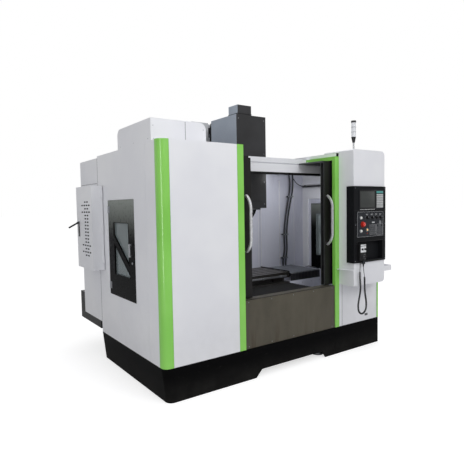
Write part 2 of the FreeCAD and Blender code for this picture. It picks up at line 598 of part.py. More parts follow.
def splash_guards():
    left, right = SHEET, WIDTH - SHEET
    y = BACK_WALL
    bends = [(left, y), (1868, y), (1888, y - 16), (2176, y - 16), (2196, y), (right, y)]
    wall = folded_wall(bends, 700, TOP - 6)
    slot = box(CENTRE_X - 160, CENTRE_X + 160, y - 30, y + 20, 1290, TOP)
    beam_hole = box(976, 1056, y - 30, y + 20, 1628, 1812)
    wall = cut(wall, [slot, beam_hole])
    lower = folded_wall([(left, y + 6), (CENTRE_X - 503, y + 6)], 500, 698)
    lower_right = folded_wall([(CENTRE_X + 503, y + 6), (right, y + 6)], 500, 698)
    chutes = []
    for x_wall, x_bed in ((left, CENTRE_X - 502), (right, CENTRE_X + 502)):
        outline = [(x_wall, 116, 575), (x_bed, 116, 480), (x_bed, 116, 477), (x_wall, 116, 572)]
        chutes.append(prism(outline, (0, 1, 0), y - 4 - 116))
    return Part.makeCompound([wall, lower, lower_right] + chutes)


def magazine_hood():
    outer = box(0, HOOD_RIGHT, HOOD_FRONT, HOOD_REAR, TOP, HOOD_TOP)
    outer = rounded(outer, 60, "y", {"x": HOOD_RIGHT, "z": HOOD_TOP})
    outer = rounded(outer, 60, "x", {"y": HOOD_REAR, "z": HOOD_TOP})
    inner = box(SHEET, HOOD_RIGHT - SHEET, HOOD_FRONT + SHEET, HOOD_REAR - SHEET, TOP - 1, HOOD_TOP - SHEET)
    inner = rounded(inner, 57, "y", {"x": HOOD_RIGHT - SHEET, "z": HOOD_TOP - SHEET})
    inner = rounded(inner, 57, "x", {"y": HOOD_REAR - SHEET, "z": HOOD_TOP - SHEET})
    return outer.cut(inner)


def rear_enclosure():
    outer = box(0, WIDTH, BASE_DEPTH, REAR, REAR_BOTTOM, REAR_TOP)
    inner = box(SHEET, WIDTH - SHEET, BASE_DEPTH - 1, REAR - SHEET, REAR_BOTTOM + SHEET, REAR_TOP - SHEET)
    column = box(CENTRE_X - COLUMN_HALF - 8, CENTRE_X + COLUMN_HALF + 8, BASE_DEPTH - 2, COLUMN_REAR + 8,
                 REAR_TOP - 10, REAR_TOP + 1)
    bed = box(CENTRE_X - 508, CENTRE_X + 508, BASE_DEPTH - 2, REAR - 40, REAR_BOTTOM - 1, REAR_BOTTOM + 10)
    access = box(-1, 10, 1385, CABINET_DOOR_Y[1] - 30, CABINET_DOOR_Z[0] + 40, CABINET_DOOR_Z[1] - 40)
    shell = cut(outer, [inner, column, bed, access])
    floor = box(0, 700, 1400, DUCT_REAR, 297, REAR_BOTTOM - 1)
    lip = box(0, 700, REAR + 3, DUCT_REAR, 297, 594)
    duct = fuse([floor, lip])
    hollow = [box(SHEET, 700 - SHEET, 1403, DUCT_REAR - SHEET, 300, REAR_BOTTOM - 1 - SHEET),
              box(SHEET, 700 - SHEET, REAR + 6, DUCT_REAR - SHEET, 300, 591),
              box(640, 710, 1450, 1900, 306, 366)]
    return Part.makeCompound([shell, cut(duct, hollow)])


# ---------------------------------------------------------------- doors

def bow_line(z0, z1, depth, rise, run):
    """A shallow bow in front of a door: out over a rise, straight up, and back to the door."""
    low = Part.Arc(V(0, DOOR_FRONT, z0), V(0, DOOR_FRONT - depth * BOW_SHARE, z0 + rise),
                   V(0, DOOR_FRONT - depth, z0 + run))
    middle = Part.LineSegment(V(0, DOOR_FRONT - depth, z0 + run), V(0, DOOR_FRONT - depth, z1 - run))
    high = Part.Arc(V(0, DOOR_FRONT - depth, z1 - run), V(0, DOOR_FRONT - depth * BOW_SHARE, z1 - rise),
                    V(0, DOOR_FRONT, z1))
    return [low.toShape(), middle.toShape(), high.toShape()]


def bow_handle(x):
    """A flat bar bent forward in a shallow bow, fixed to the stile at both ends."""
    z0, z1 = HANDLE_Z
    foot = 22.0
    edges = bow_line(z0, z1, HANDLE_DEPTH, 62, 135)
    edges += bow_line(z0 + foot, z1 - foot, HANDLE_DEPTH - HANDLE_THICK, 50, 118)
    edges.append(Part.LineSegment(V(0, DOOR_FRONT, z0), V(0, DOOR_FRONT, z0 + foot)).toShape())
    edges.append(Part.LineSegment(V(0, DOOR_FRONT, z1 - foot), V(0, DOOR_FRONT, z1)).toShape())
    outline = Part.Wire(Part.__sortEdges__(edges))
    bar = Part.Face(outline).extrude(V(2 * HANDLE_HALF, 0, 0))
    bar.translate(V(x - HANDLE_HALF, 0, 0))
    return bar


def door_frame(edge, side):
    """side is -1 for the left door, whose body lies left of its meeting edge, and +1 for the right."""
    far = edge + side * DOOR_WIDTH
    x0, x1 = min(edge, far), max(edge, far)
    frame = box(x0, x1, DOOR_FRONT, DOOR_BACK, DOOR_BOTTOM, DOOR_TOP)
    pane = sorted((edge + side * STILE, far - side * 70))
    window = box(pane[0], pane[1], DOOR_FRONT - 1, DOOR_BACK + 1, DOOR_BOTTOM + 90, DOOR_TOP - 90)
    rebate = box(pane[0] - 12, pane[1] + 12, 80, 90, DOOR_BOTTOM + 78, DOOR_TOP - 78)
    leaf_edge = edge - 22
    leaf = box(min(leaf_edge, far), max(leaf_edge, far), DOOR_FRONT, BEAM_FRONT - 6, DOOR_TOP, DOOR_TOP + 14)
    body = cut(frame, [window, rebate])
    handle = bow_handle(edge + side * HANDLE_INSET)
    return Part.makeCompound([fuse([body, leaf]), handle])


def door_glass(edge, side):
    far = edge + side * DOOR_WIDTH
    pane = sorted((edge + side * STILE, far - side * 70))
    return box(pane[0] - 11, pane[1] + 11, 81, 89, DOOR_BOTTOM + 79, DOOR_TOP - 79)


def side_door_frame(y_range, outer_x, inward):
    """A flat leaf in the side wall; inward is +1 on the left side and -1 on the right."""
    y0, y1 = y_range
    z0, z1 = SIDE_DOOR_Z
    xs = sorted((outer_x - inward * 4, outer_x + inward * 16))
    leaf = box(xs[0], xs[1], y0, y1, z0, z1)
    upper = [(y0 + 120, 1382), (y1 - 130, 1382), (y1 - 130, 1266), (y0 + 120, 1010)]
    lower = [(y0 + 102, 905), (y1 - 138, 905), (y1 - 138, 1190), (y0 + 102, 925)]
    holes = []
    for outline in (upper, lower):
        holes.append(prism([(xs[0] - 5, y, z) for y, z in outline], (1, 0, 0), 40))
    seat = sorted((outer_x + inward * 10, outer_x + inward * 17))
    holes.append(box(seat[0], seat[1], y0 + 80, y1 - 110, 885, 1402))
    body = cut(leaf, holes)
    face = outer_x - inward * 4
    x_a, x_b = sorted((face, face - inward * 30))
    grip_a, grip_b = sorted((face - inward * 20, face - inward * 30))
    ends = [box(x_a, x_b, y0 + 45, y0 + 60, z, z + 16) for z in (1096, 1192)]
    grip = box(grip_a, grip_b, y0 + 45, y0 + 60, 1096, 1208)
    return Part.makeCompound([body, fuse([grip] + ends)])


def side_door_glass(y_range, outer_x, inward):
    y0, y1 = y_range
    seat = sorted((outer_x + inward * 10.5, outer_x + inward * 15.5))
    return box(seat[0], seat[1], y0 + 81, y1 - 111, 886, 1401)


def cabinet_door():
    y0, y1 = CABINET_DOOR_Y
    z0, z1 = CABINET_DOOR_Z
    shell = box(CABINET_DOOR_FACE, -5, y0, y1, z0, z1)
    hollow = box(CABINET_DOOR_FACE + SHEET, 0, y0 + SHEET, y1 - SHEET, z0 + SHEET, z1 - SHEET)
    slots = []
    for row in range(17):
        z = 1578 - row * 33.0
        wide = row in (1, 3, 13, 15)
        count = 4 if wide else 2
        start = 1500 - (70 if not wide else 30)
        for index in range(count):
            y = start - index * 70 + (50 if wide else 0)
            slots.append(box(CABINET_DOOR_FACE - 2, CABINET_DOOR_FACE + 10, y - 26, y + 26, z - 7, z + 7))
    x, y, z = LEVER_PIVOT
    plate = box(CABINET_DOOR_FACE - 6, CABINET_DOOR_FACE, y - 16, y + 16, 1230, 1385)
    ears = [box(x - 8, CABINET_DOOR_FACE - 5, y + side - 1.8, y + side + 1.8, z - 8, z + 8)
            for side in (-14.2, 14.2)]
    pin_hole = rod((x, y - 20, z), (x, y + 20, z), 4 + FIT)
    return Part.makeCompound([cut(shell, [hollow] + slots), cut(fuse([plate] + ears), [pin_hole])])


def cabinet_lever():
    """A black swing lever, drawn out of its plate."""
    reach = V(-math.sin(LEVER_ANGLE), 0, -math.cos(LEVER_ANGLE)) * LEVER_REACH
    across = V(math.cos(LEVER_ANGLE), 0, -math.sin(LEVER_ANGLE)) * LEVER_HALF
    start, tip = LEVER_PIVOT - V(0, 10, 0), LEVER_PIVOT + reach - V(0, 10, 0)
    corners = [start - across, tip - across, tip + across, start + across]
    bar = Part.Face(Part.makePolygon(corners + corners[:1])).extrude(V(0, 20, 0))
    hub = Part.makeCylinder(7.5, 23, LEVER_PIVOT - V(0, 11.5, 0), V(0, 1, 0))
    pin = Part.makeCylinder(4, 30, LEVER_PIVOT - V(0, 15, 0), V(0, 1, 0))
    return fuse([bar, hub, pin])


# ---------------------------------------------------------------- operator station

def operator_cabinet():
    outer = box(POST_RIGHT, CAB_RIGHT, CAB_FRONT, -1, CAB_BOTTOM, CAB_TOP)
    roof = box(POST_RIGHT, CAB_RIGHT, -2, 192, TOP, CAB_TOP)
    outer = fuse([outer, roof])
    outer = rounded(outer, 14, "y", {"x": POST_RIGHT, "z": CAB_TOP})
    outer = rounded(outer, 40, "y", {"x": CAB_RIGHT, "z": CAB_BOTTOM})
    outer = rounded(outer, 50, "y", {"x": CAB_RIGHT, "z": CAB_TOP})
    inner = box(POST_RIGHT + SHEET, CAB_RIGHT - SHEET, CAB_FRONT + SHEET, 1, CAB_BOTTOM + SHEET, TOP - 5)
    inner = rounded(inner, 37, "y", {"x": CAB_RIGHT - SHEET, "z": CAB_BOTTOM + SHEET})
    inner = rounded(inner, 40, "y", {"x": CAB_RIGHT - SHEET, "z": TOP - 5})
    seat = box(POST_RIGHT - 20, CAB_RIGHT + 20, CAB_FRONT - 40, BOX_BACK + 2, BOX_BOTTOM - 3, BOX_TOP + 3)
    shell = cut(outer, [inner, seat])
    back = box(POST_RIGHT, CAB_RIGHT, BOX_BACK + 2, BOX_BACK + 5, BOX_BOTTOM - 3, BOX_TOP + 3)
    shelves = [box(POST_RIGHT, CAB_RIGHT, CAB_FRONT, BOX_BACK + 5, z, z + SHEET)
               for z in (BOX_BOTTOM - 6, BOX_TOP + 3)]
    tray = box(CAB_RIGHT, TRAY_RIGHT, CAB_FRONT, -60, 815, 868)
    tray = tray.cut(box(CAB_RIGHT + SHEET, TRAY_RIGHT - SHEET, CAB_FRONT + SHEET, -60 - SHEET, 818, 870))
    ledge = prism([(POST_RIGHT, CAB_FRONT + 6, 862), (POST_RIGHT - 34, -60, 862), (POST_RIGHT - 34, -4, 862),
                   (POST_RIGHT, -4, 862)], (0, 0, 1), 5)
    return fuse([shell, back, tray, ledge] + shelves)


def control_box():
    outer = box(BOX_LEFT, CAB_RIGHT, BOX_FRONT, BOX_BACK, BOX_BOTTOM, BOX_TOP)
    outer = outer.makeFillet(6, edges_along(outer, "z", [{"x": BOX_LEFT, "y": BOX_FRONT},
                                                        {"x": CAB_RIGHT, "y": BOX_FRONT}]))
    wall = 4.0
    inner = box(BOX_LEFT + wall, CAB_RIGHT - wall, BOX_FRONT + 6, BOX_BACK - wall, BOX_BOTTOM + wall,
                BOX_TOP - wall)
    px0, px1, pz0, pz1 = POCKET
    pocket_wall = box(px0 - 4, px1 + 4, BOX_FRONT + 5, BOX_FRONT + 58, pz0 - 4, pz1 + 4)
    pocket = box(px0, px1, BOX_FRONT - 1, BOX_FRONT + 54, pz0, pz1)
    body = fuse([cut(outer, [inner]), pocket_wall])
    rest = box(PENDANT[0] + 8, PENDANT[1] - 8, BOX_FRONT + 2, BOX_FRONT + 56, pz0 - 1, PENDANT[4])
    screen = box(2030, 2288, BOX_FRONT - 5, BOX_FRONT + 1, 1462, 1652)
    keypad = box(2290, 2408, BOX_FRONT - 3, BOX_FRONT + 1, 1462, 1652)
    switches = box(1998, 2408, BOX_FRONT - 3, BOX_FRONT + 1, 1186, 1438)
    body = fuse([body, screen, keypad, switches])
    holes = [pocket, box(2042, 2276, BOX_FRONT - 6, BOX_FRONT - 2, 1474, 1640)]
    for (x, z), radius in [(E_STOP, 11.5), (START, 9.5), (STOP, 9.5), (KEY, 5.5)] + [
            (spot, 4.5) for spot in KNOBS.values()]:
        holes.append(rod((x, BOX_FRONT - 10, z), (x, BOX_FRONT + 10, z), radius))
    collar = ring((E_STOP[0], BOX_FRONT - 7, E_STOP[1]), (E_STOP[0], BOX_FRONT - 2.5, E_STOP[1]), 30, 11.5)
    end = CORD_ROUTE[-1]
    gland = box(end[0] - 13, end[0] + 13, end[1] - 12, BOX_FRONT + 1, end[2], BOX_BOTTOM + 17)
    return fuse([cut(body, holes), rest, collar, gland])


def push_button(spot, radius, stem, travel, height):
    """A button cap standing off the panel by its travel, on a stem through the panel."""
    x, z = spot
    face = BOX_FRONT - 3 - travel
    cap = rod((x, face - height, z), (x, face, z), radius)
    cap = cap.makeFillet(min(2.5, height / 3), [cap.Edges[0] if cap.Edges[0].BoundBox.YMax < face - height + 1
                                               else cap.Edges[2]])
    return fuse([cap, rod((x, face - 1, z), (x, BOX_FRONT + 9, z), stem)])


def e_stop():
    x, z = E_STOP
    face = BOX_FRONT - 7 - 7
    head = rod((x, face - 14, z), (x, face, z), 21)
    top = [edge for edge in head.Edges if abs(edge.BoundBox.YMax - (face - 14)) < 0.1]
    head = head.makeFillet(5, top)
    return fuse([head, rod((x, face - 1, z), (x, BOX_FRONT + 9, z), 11)])


def rotary_knob(spot, radius):
    """A round skirt with a raised finger bar across it, on a shaft through the panel."""
    x, z = spot
    face = BOX_FRONT - 4
    skirt = rod((x, face - 6, z), (x, face, z), radius)
    bar = box(x - 4, x + 4, face - 20, face - 5, z - radius + 1, z + radius - 1)
    return fuse([skirt, bar, rod((x, face - 1, z), (x, BOX_FRONT + 9, z), 4)])


def key_switch():
    x, z = KEY
    face = BOX_FRONT - 4
    barrel = rod((x, face - 5, z), (x, face, z), 11)
    blade = box(x - 1.5, x + 1.5, face - 12, face - 4, z - 4, z + 4)
    bow = rod((x - 1.5, face - 22, z), (x + 1.5, face - 22, z), 12)
    return fuse([barrel, blade, bow, rod((x, face - 1, z), (x, BOX_FRONT + 9, z), 5)])


def pendant_body():
    x0, x1, y0, y1, z0, z1 = PENDANT
    body = box(x0, x1, y0, y1, z0, z1)
    body = rounded(body, 12, "z", {"x": x0, "y": y0}, {"x": x1, "y": y0})
    shafts = [rod((x, y0 - 1, z), (x, y0 + 16, z), 3.5) for x, z in SELECTORS.values()]
    shafts.append(rod((WHEEL[0], y0 - 1, WHEEL[1]), (WHEEL[0], y0 + 16, WHEEL[1]), 5.5))
    neck = box(x0 + 6, x0 + 22, y0 + 24, y0 + 40, z0 - 1, z0)
    return cut(body, shafts).cut(neck)


def pendant_wheel():
    x, z = WHEEL
    y = PENDANT[2] - 1
    dial = rod((x, y - 8, z), (x, y, z), 27)
    crank = rod((x + 17, y - 22, z), (x + 17, y - 7, z), 6)
    return fuse([dial, crank, rod((x, y - 1, z), (x, y + 14, z), 5)])


def pendant_knob(spot):
    x, z = spot
    y = PENDANT[2] - 1
    return fuse([rod((x, y - 5, z), (x, y, z), 10), box(x - 3, x + 3, y - 13, y - 4, z - 9, z + 9),
                 rod((x, y - 1, z), (x, y + 14, z), 3)])


def signal_lamp():
    x, y = LAMP
    foot = rod((x, y, CAB_TOP), (x, y, CAB_TOP + 6), 24)
    pole = rod((x, y, CAB_TOP + 5), (x, y, 2160), 9)
    base = Part.makeCone(12, 24, 58, V(x, y, 2158), V(0, 0, 1))
    tower = rod((x, y, 2215), (x, y, 2372), 24)
    cap = rod((x, y, 2371), (x, y, 2388), 26)
    return fuse([foot, pole, base, tower, cap])


def hose_x(path, height):
    """Where a hose's route crosses a height."""
    for a, b in zip(path, path[1:]):
        if b[2] <= height <= a[2]:
            return a[0] + (b[0] - a[0]) * (a[2] - height) / (a[2] - b[2])


def wall_conduits():
    hoses = []
    for path in HOSE_PATHS:
        solid, length, radii = hose(path, HOSE_RADIUS)
        print("wall hose length %.0f mm, volume ratio %.4f, arc radii %s" % (
            length, solid.Volume / (math.pi * HOSE_RADIUS ** 2 * length), radii))
        hoses.append(solid)
    clips = []
    for height in CLIP_HEIGHTS:
        left, right = (hose_x(path, height) for path in HOSE_PATHS)
        clip = box(left - 22, right + 22, 1104, BACK_WALL, height - 9, height + 9)
        clips += clip.cut(Part.makeCompound(hoses)).Solids
    manifold = box(2202, 2286, 1100, BACK_WALL, 702, 728)
    pipe = rod((2572, 190, 1745), (2572, 1120, 1745), 11)
    rail = box(2566, WIDTH - SHEET, 190, 1140, 1768, 1780)
    hangers = [box(2567, 2577, y - 10, y + 10, 1750, 1769) for y in (230, 650, 1080)]
    return Part.makeCompound(hoses + clips + [manifold, fuse([pipe, rail] + hangers)])


def pendant_cord():
    solid, length, radii = hose(CORD_ROUTE, CORD_RADIUS)
    print("pendant cord length %.0f mm, volume ratio %.4f, arc radii %s" % (
        length, solid.Volume / (math.pi * CORD_RADIUS ** 2 * length), radii))
    return solid


NODES = {
    "levelling_feet": levelling_feet, "bed_casting": bed_casting, "column_casting": column_casting,
    "fixed_guide_rails": fixed_guide_rails, "fixed_axis_motors": fixed_axis_motors,
    "saddle": lambda: Part.makeCompound([saddle()] + saddle_rails()),
    "table": table,
    "x_ballscrew": lambda: screw((SADDLE_LEFT + 2, AXIS_Y, X_SCREW_Z), (SADDLE_RIGHT + 8, AXIS_Y, X_SCREW_Z),
                                 X_SCREW_RADIUS),
    "y_ballscrew": lambda: screw((CENTRE_X, 191, Y_SCREW_Z), (CENTRE_X, 1238, Y_SCREW_Z), SCREW_RADIUS),
    "z_ballscrew": lambda: screw((CENTRE_X, Z_SCREW_Y, 1151), (CENTRE_X, Z_SCREW_Y, 2289), SCREW_RADIUS),
    "x_axis_motor": lambda: axis_motor((SADDLE_RIGHT + 10, AXIS_Y, X_SCREW_Z), (1, 0, 0), 116, 150),
    "x_bellows_left": lambda: cover_shell(SADDLE_LEFT + 22, TABLE_LEFT - 12, 486, 976, 702, 790, 8, "x"),
    "x_bellows_right": lambda: cover_shell(TABLE_RIGHT + 12, SADDLE_RIGHT - 22, 486, 976, 702, 790, 8, "x"),
    "y_bellows": lambda: cover_shell(946, 1746, 118, 476, 566, 690, 8, "y"),
    "head_casting": head_casting, "spindle": spindle, "spindle_motor": spindle_motor,
    "head_cover": head_cover, "changer_frame": changer_frame, "magazine_disc": magazine_disc,
    "arm_shaft": arm_shaft, "tool_change_arm": tool_change_arm, "base_skirt": base_skirt,
    "left_corner_post": left_corner_post, "left_side_wall": left_side_wall,
    "left_front_panel": left_front_panel, "apron_panel": apron_panel, "right_door_post": right_door_post,
    "right_column_panel": right_column_panel, "cross_beam": cross_beam, "splash_guards": splash_guards,
    "magazine_hood": magazine_hood, "rear_enclosure": rear_enclosure,
    "left_door": lambda: door_frame(LEFT_DOOR_EDGE, -1),
    "left_door_glass": lambda: door_glass(LEFT_DOOR_EDGE, -1),
    "right_door": lambda: door_frame(RIGHT_DOOR_EDGE, 1),
    "right_door_glass": lambda: door_glass(RIGHT_DOOR_EDGE, 1),
    "left_side_door": lambda: side_door_frame(SIDE_DOOR, 0, 1),
    "left_side_glass": lambda: side_door_glass(SIDE_DOOR, 0, 1),
    "right_side_door": lambda: side_door_frame(RIGHT_SIDE_DOOR, WIDTH, -1),
    "right_side_glass": lambda: side_door_glass(RIGHT_SIDE_DOOR, WIDTH, -1),
    "cabinet_door": cabinet_door, "cabinet_lever": cabinet_lever,
    "operator_cabinet": operator_cabinet, "control_box": control_box, "e_stop": e_stop,
    "start_button": lambda: push_button(START, 12, 9, 4, 8),
    "stop_button": lambda: push_button(STOP, 12, 9, 4, 8),
    "mode_knob": lambda: rotary_knob(KNOBS["mode_knob"], 16),
    "feed_knob": lambda: rotary_knob(KNOBS["feed_knob"], 14),
    "rapid_knob": lambda: rotary_knob(KNOBS["rapid_knob"], 14),
    "spindle_knob": lambda: rotary_knob(KNOBS["spindle_knob"], 14),
    "key_switch": key_switch, "pendant_body": pendant_body, "pendant_wheel": pendant_wheel,
    "pendant_axis_knob": lambda: pendant_knob(SELECTORS["pendant_axis_knob"]),
    "pendant_step_knob": lambda: pendant_knob(SELECTORS["pendant_step_knob"]),
    "pendant_cord": pendant_cord, "signal_lamp": signal_lamp, "wall_conduits": wall_conduits,
}

if __name__ == "__main__":
    for name, make in NODES.items():
        write(name, make())
    print(len(NODES), "nodes")
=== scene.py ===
import math

import bmesh
import bpy
from mathutils import Matrix, Vector


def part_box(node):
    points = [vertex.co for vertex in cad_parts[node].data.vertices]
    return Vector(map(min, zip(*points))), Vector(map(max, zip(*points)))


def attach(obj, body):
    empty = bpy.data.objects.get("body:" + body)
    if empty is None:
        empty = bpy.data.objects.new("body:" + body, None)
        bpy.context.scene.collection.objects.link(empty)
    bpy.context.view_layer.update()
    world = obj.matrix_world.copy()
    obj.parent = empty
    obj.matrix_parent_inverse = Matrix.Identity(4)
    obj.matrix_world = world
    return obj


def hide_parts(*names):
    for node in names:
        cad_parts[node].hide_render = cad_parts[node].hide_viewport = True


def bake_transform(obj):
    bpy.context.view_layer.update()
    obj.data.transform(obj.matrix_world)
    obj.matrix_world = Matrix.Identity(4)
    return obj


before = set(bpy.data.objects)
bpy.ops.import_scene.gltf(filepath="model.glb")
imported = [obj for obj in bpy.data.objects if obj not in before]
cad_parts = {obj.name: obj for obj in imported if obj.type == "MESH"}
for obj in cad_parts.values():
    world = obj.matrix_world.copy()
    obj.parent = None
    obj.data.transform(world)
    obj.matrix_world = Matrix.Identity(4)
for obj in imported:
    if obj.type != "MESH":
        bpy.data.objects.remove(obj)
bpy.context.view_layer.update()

# Layout millimetres: x right from the left wall, y back from the front plane, z up from the floor.
LEFT_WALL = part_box("left_side_wall")[0].x
FRONT_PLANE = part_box("left_corner_post")[0].y
MM = 0.001

FORWARD, BACKWARD = (0, -1, 0), (0, 1, 0)
LEFTWARD, RIGHTWARD = (-1, 0, 0), (1, 0, 0)
UPWARD, DOWNWARD = (0, 0, 1), (0, 0, -1)

SPINDLE_X, SPINDLE_Y = 1346, 760
MAGAZINE_Z, POT_CIRCLE, POTS = 1740, 228, 16
LAMP_AXIS = (2318, 100)
E_STOP, E_STOP_COLLAR = (2080, 1313), 30.5
START_AT, STOP_AT, LENS_AT, KEY_AT = (2054, 1377), (2054, 1248), (2151, 1257), (2356, 1325)
KNOBS = (("mode_knob", 2147, 1377, 23, 15), ("feed_knob", 2222, 1377, 21, 13),
         ("rapid_knob", 2290, 1376, 21, 13), ("spindle_knob", 2356, 1375, 21, 13))
DIAL = (2062, 1000)
REAR_PANELS = ((60, 850), (910, 1690), (1750, 2530))

# Which output of the Texture Coordinate and Geometry nodes is used.
OBJECT_PLACE, NORMAL = 3, 1


def at(x, y, z):
    return Vector((LEFT_WALL + x * MM, FRONT_PLANE + y * MM, z * MM))


def layout(point):
    return (point.x - LEFT_WALL) / MM, (point.y - FRONT_PLANE) / MM, point.z / MM


# ---------------------------------------------------------------- shader maths

class Val:
    """A shader socket; Python operators on it add Math nodes."""

    def __init__(self, tree, socket):
        self.tree = tree
        self.socket = socket

    def node(self, kind, settings=None, inputs=None, out=0):
        made = self.tree.nodes.new(kind)
        for name, value in (settings or {}).items():
            setattr(made, name, value)
        for name, value in (inputs or {}).items():
            if isinstance(value, Val):
                self.tree.links.new(value.socket, made.inputs[name])
            else:
                made.inputs[name].default_value = value
        return Val(self.tree, made.outputs[out])

    def maths(self, operation, first, second):
        return self.node("ShaderNodeMath", {"operation": operation}, {0: first, 1: second})

    def parts(self):
        """The x, y and z of a vector."""
        split = self.node("ShaderNodeSeparateXYZ", inputs={0: self})
        return [Val(self.tree, socket) for socket in split.socket.node.outputs]

    def __add__(self, other):
        return self.maths("ADD", self, other)

    __radd__ = __add__

    def __sub__(self, other):
        return self.maths("SUBTRACT", self, other)

    def __rsub__(self, other):
        return self.maths("SUBTRACT", other, self)

    def __mul__(self, other):
        return self.maths("MULTIPLY", self, other)

    __rmul__ = __mul__

    def __gt__(self, other):
        return self.maths("GREATER_THAN", self, other)

    def __lt__(self, other):
        return self.maths("LESS_THAN", self, other)

    def __mod__(self, other):
        return self.maths("FLOORED_MODULO", self, other)

    def ramp(self, low, high, start=0.0, end=1.0):
        """0 to 1 turned smoothly between two values."""
        return self.node("ShaderNodeMapRange", {"interpolation_type": "SMOOTHSTEP"},
                         {0: self, 1: low, 2: high, 3: start, 4: end})

    def colours(self, low, high):
        """A colour mix by this value; either end may be a colour or another mix."""
        return self.node("ShaderNodeMix", {"data_type": "RGBA"}, {0: self, 6: low, 7: high}, out=2)


def rgb(red, green, blue):
    """A display colour, 0 to 255, as the linear colour the shader takes."""
    shares = (red / 255, green / 255, blue / 255)
    return (*(c / 12.92 if c <= 0.04045 else ((c + 0.055) / 1.055) ** 2.4 for c in shares), 1.0)


class Surface:
    """The places and patterns that a finish is worked out from, in metres and fixed to the mesh."""

    def __init__(self, tree):
        self.start = Val(tree, None)
        self.place = self.start.node("ShaderNodeTexCoord", out=OBJECT_PLACE)
        self.x, self.y, self.z = self.place.parts()
        self.facing = self.start.node("ShaderNodeNewGeometry", out=NORMAL).parts()

    def right_of(self, x):
        return self.x > at(x, 0, 0).x

    def left_of(self, x):
        return self.x < at(x, 0, 0).x

    def behind(self, y):
        return self.y > at(0, y, 0).y

    def front_of(self, y):
        return self.y < at(0, y, 0).y

    def above(self, z):
        return self.z > z * MM

    def below(self, z):
        return self.z < z * MM

    def near(self, x, y, radius):
        """Inside an upright cylinder."""
        dx, dy = self.x - at(x, 0, 0).x, self.y - at(0, y, 0).y
        return dx * dx + dy * dy < (radius * MM) ** 2

    def stretched(self, x, y, z):
        return self.start.node("ShaderNodeMapping", inputs={"Vector": self.place, "Scale": (x, y, z)})

    def noise(self, scale, detail=2.0, roughness=0.5, stretch=None):
        place = self.stretched(*stretch) if stretch else self.place
        return self.start.node("ShaderNodeTexNoise", inputs={
            "Vector": place, "Scale": scale, "Detail": detail, "Roughness": roughness})

    def cells(self, scale, feature="F1"):
        return self.start.node("ShaderNodeTexVoronoi", {"feature": feature},
                               {"Vector": self.place, "Scale": scale})


class Finish:
    """What a surface looks like; each part is a number, a colour or a worked-out value."""

    def __init__(self, colour, rough, metal=0.0, height=None, coat=0.0):
        self.colour, self.rough, self.metal, self.height, self.coat = colour, rough, metal, height, coat

    def under(self, mask, other):
        """This finish where the mask is 0 and the other one where it is 1."""
        def lerp(a, b):
            if a is None and b is None:
                return None
            a, b = (0.0 if a is None else a), (0.0 if b is None else b)
            if not isinstance(a, Val) and not isinstance(b, Val) and a == b:
                return a
            return mask * b + (1 - mask) * a
        mask = mask.ramp(0.0, 1.0)
        return Finish(mask.colours(self.colour, other.colour), lerp(self.rough, other.rough),
                      lerp(self.metal, other.metal), lerp(self.height, other.height),
                      lerp(self.coat, other.coat))


def paint(name, finish_of, sockets=None):
    """A material from a finish; sockets are numbers that are the same all over it."""
    material = bpy.data.materials.new(name)
    material.use_nodes = True
    tree = material.node_tree
    shader = tree.nodes["Principled BSDF"]
    surface = Surface(tree)
    finish = finish_of(surface)
    wanted = {"Base Color": finish.colour, "Roughness": finish.rough, "Metallic": finish.metal,
              "Coat Weight": finish.coat}
    if finish.height is not None:
        wanted["Normal"] = surface.start.node("ShaderNodeBump", inputs={
            "Strength": 1.0, "Distance": 1.0, "Height": finish.height})
    for socket, value in {**wanted, **(sockets or {})}.items():
        if isinstance(value, Val):
            tree.links.new(value.socket, shader.inputs[socket])
        else:
            shader.inputs[socket].default_value = value
    return material


def shine(level):
    """How strongly a whole finish reflects; dark paints need far less than the usual half."""
    return {"Specular IOR Level": level}


# ---------------------------------------------------------------- finishes

def enamel(s, light, shade, rough=0.34, grain=0.000012):
    """Sprayed sheet metal: fine orange peel, faint clouds of tone and a little dust low down."""
    clouds = s.noise(1.6, 3.0)
    dust = s.noise(14.0, 4.0) * s.z.ramp(0.9, 0.25) * 0.5
    tone = clouds.ramp(0.3, 0.72).colours(light, shade)
    colour = (dust * 0.35).colours(tone, rgb(150, 146, 140))
    peel = s.noise(420.0, 2.0) * grain
    return Finish(colour, s.noise(30.0, 3.0) * 0.10 + (rough - 0.05), 0.0, peel, 0.12)


def white_enamel(s):
    return enamel(s, rgb(229, 230, 234), rgb(221, 222, 228))


def inner_white(s):
    """The white inside: lilac in tone, with runs of coolant haze and a few rust specks."""
    runs = s.noise(9.0, 4.0, 0.6, (1.0, 1.0, 0.12)).ramp(0.5, 0.78)
    tone = (runs * 0.5).colours(rgb(206, 208, 222), rgb(176, 178, 194))
    specks = s.noise(46.0, 3.0, 0.65).ramp(0.71, 0.76)
    colour = (specks * 0.8).colours(tone, rgb(116, 72, 44))
    return Finish(colour, runs * 0.15 + 0.24, 0.0, s.noise(380.0, 2.0) * 0.00001, 0.1)


def saddle_paint_and_painted_shade(s):
    """White outer ends; oily grey iron between them, under the table, made dark as painted shade."""
    middle = s.right_of(943.0) * s.left_of(1744)
    # painted shade: the part under the table is dark grey, with oily clouds of tone
    oiled_and_shaded = s.noise(12.0, 4.0).ramp(0.3, 0.7).colours(rgb(58, 57, 56), rgb(42, 41, 40))
    iron = Finish(oiled_and_shaded, s.noise(20.0, 3.0) * 0.1 + 0.34, 0.2, s.noise(70.0, 4.0) * 0.0003)
    return inner_white(s).under(middle, iron)


def green_gloss(s):
    """Apple green gloss enamel."""
    tone = s.noise(2.4, 2.0).ramp(0.3, 0.7).colours(rgb(136, 206, 90), rgb(126, 198, 80))
    return Finish(tone, s.noise(40.0, 3.0) * 0.08 + 0.2, 0.0, s.noise(300.0, 2.0) * 0.000014, 0.35)


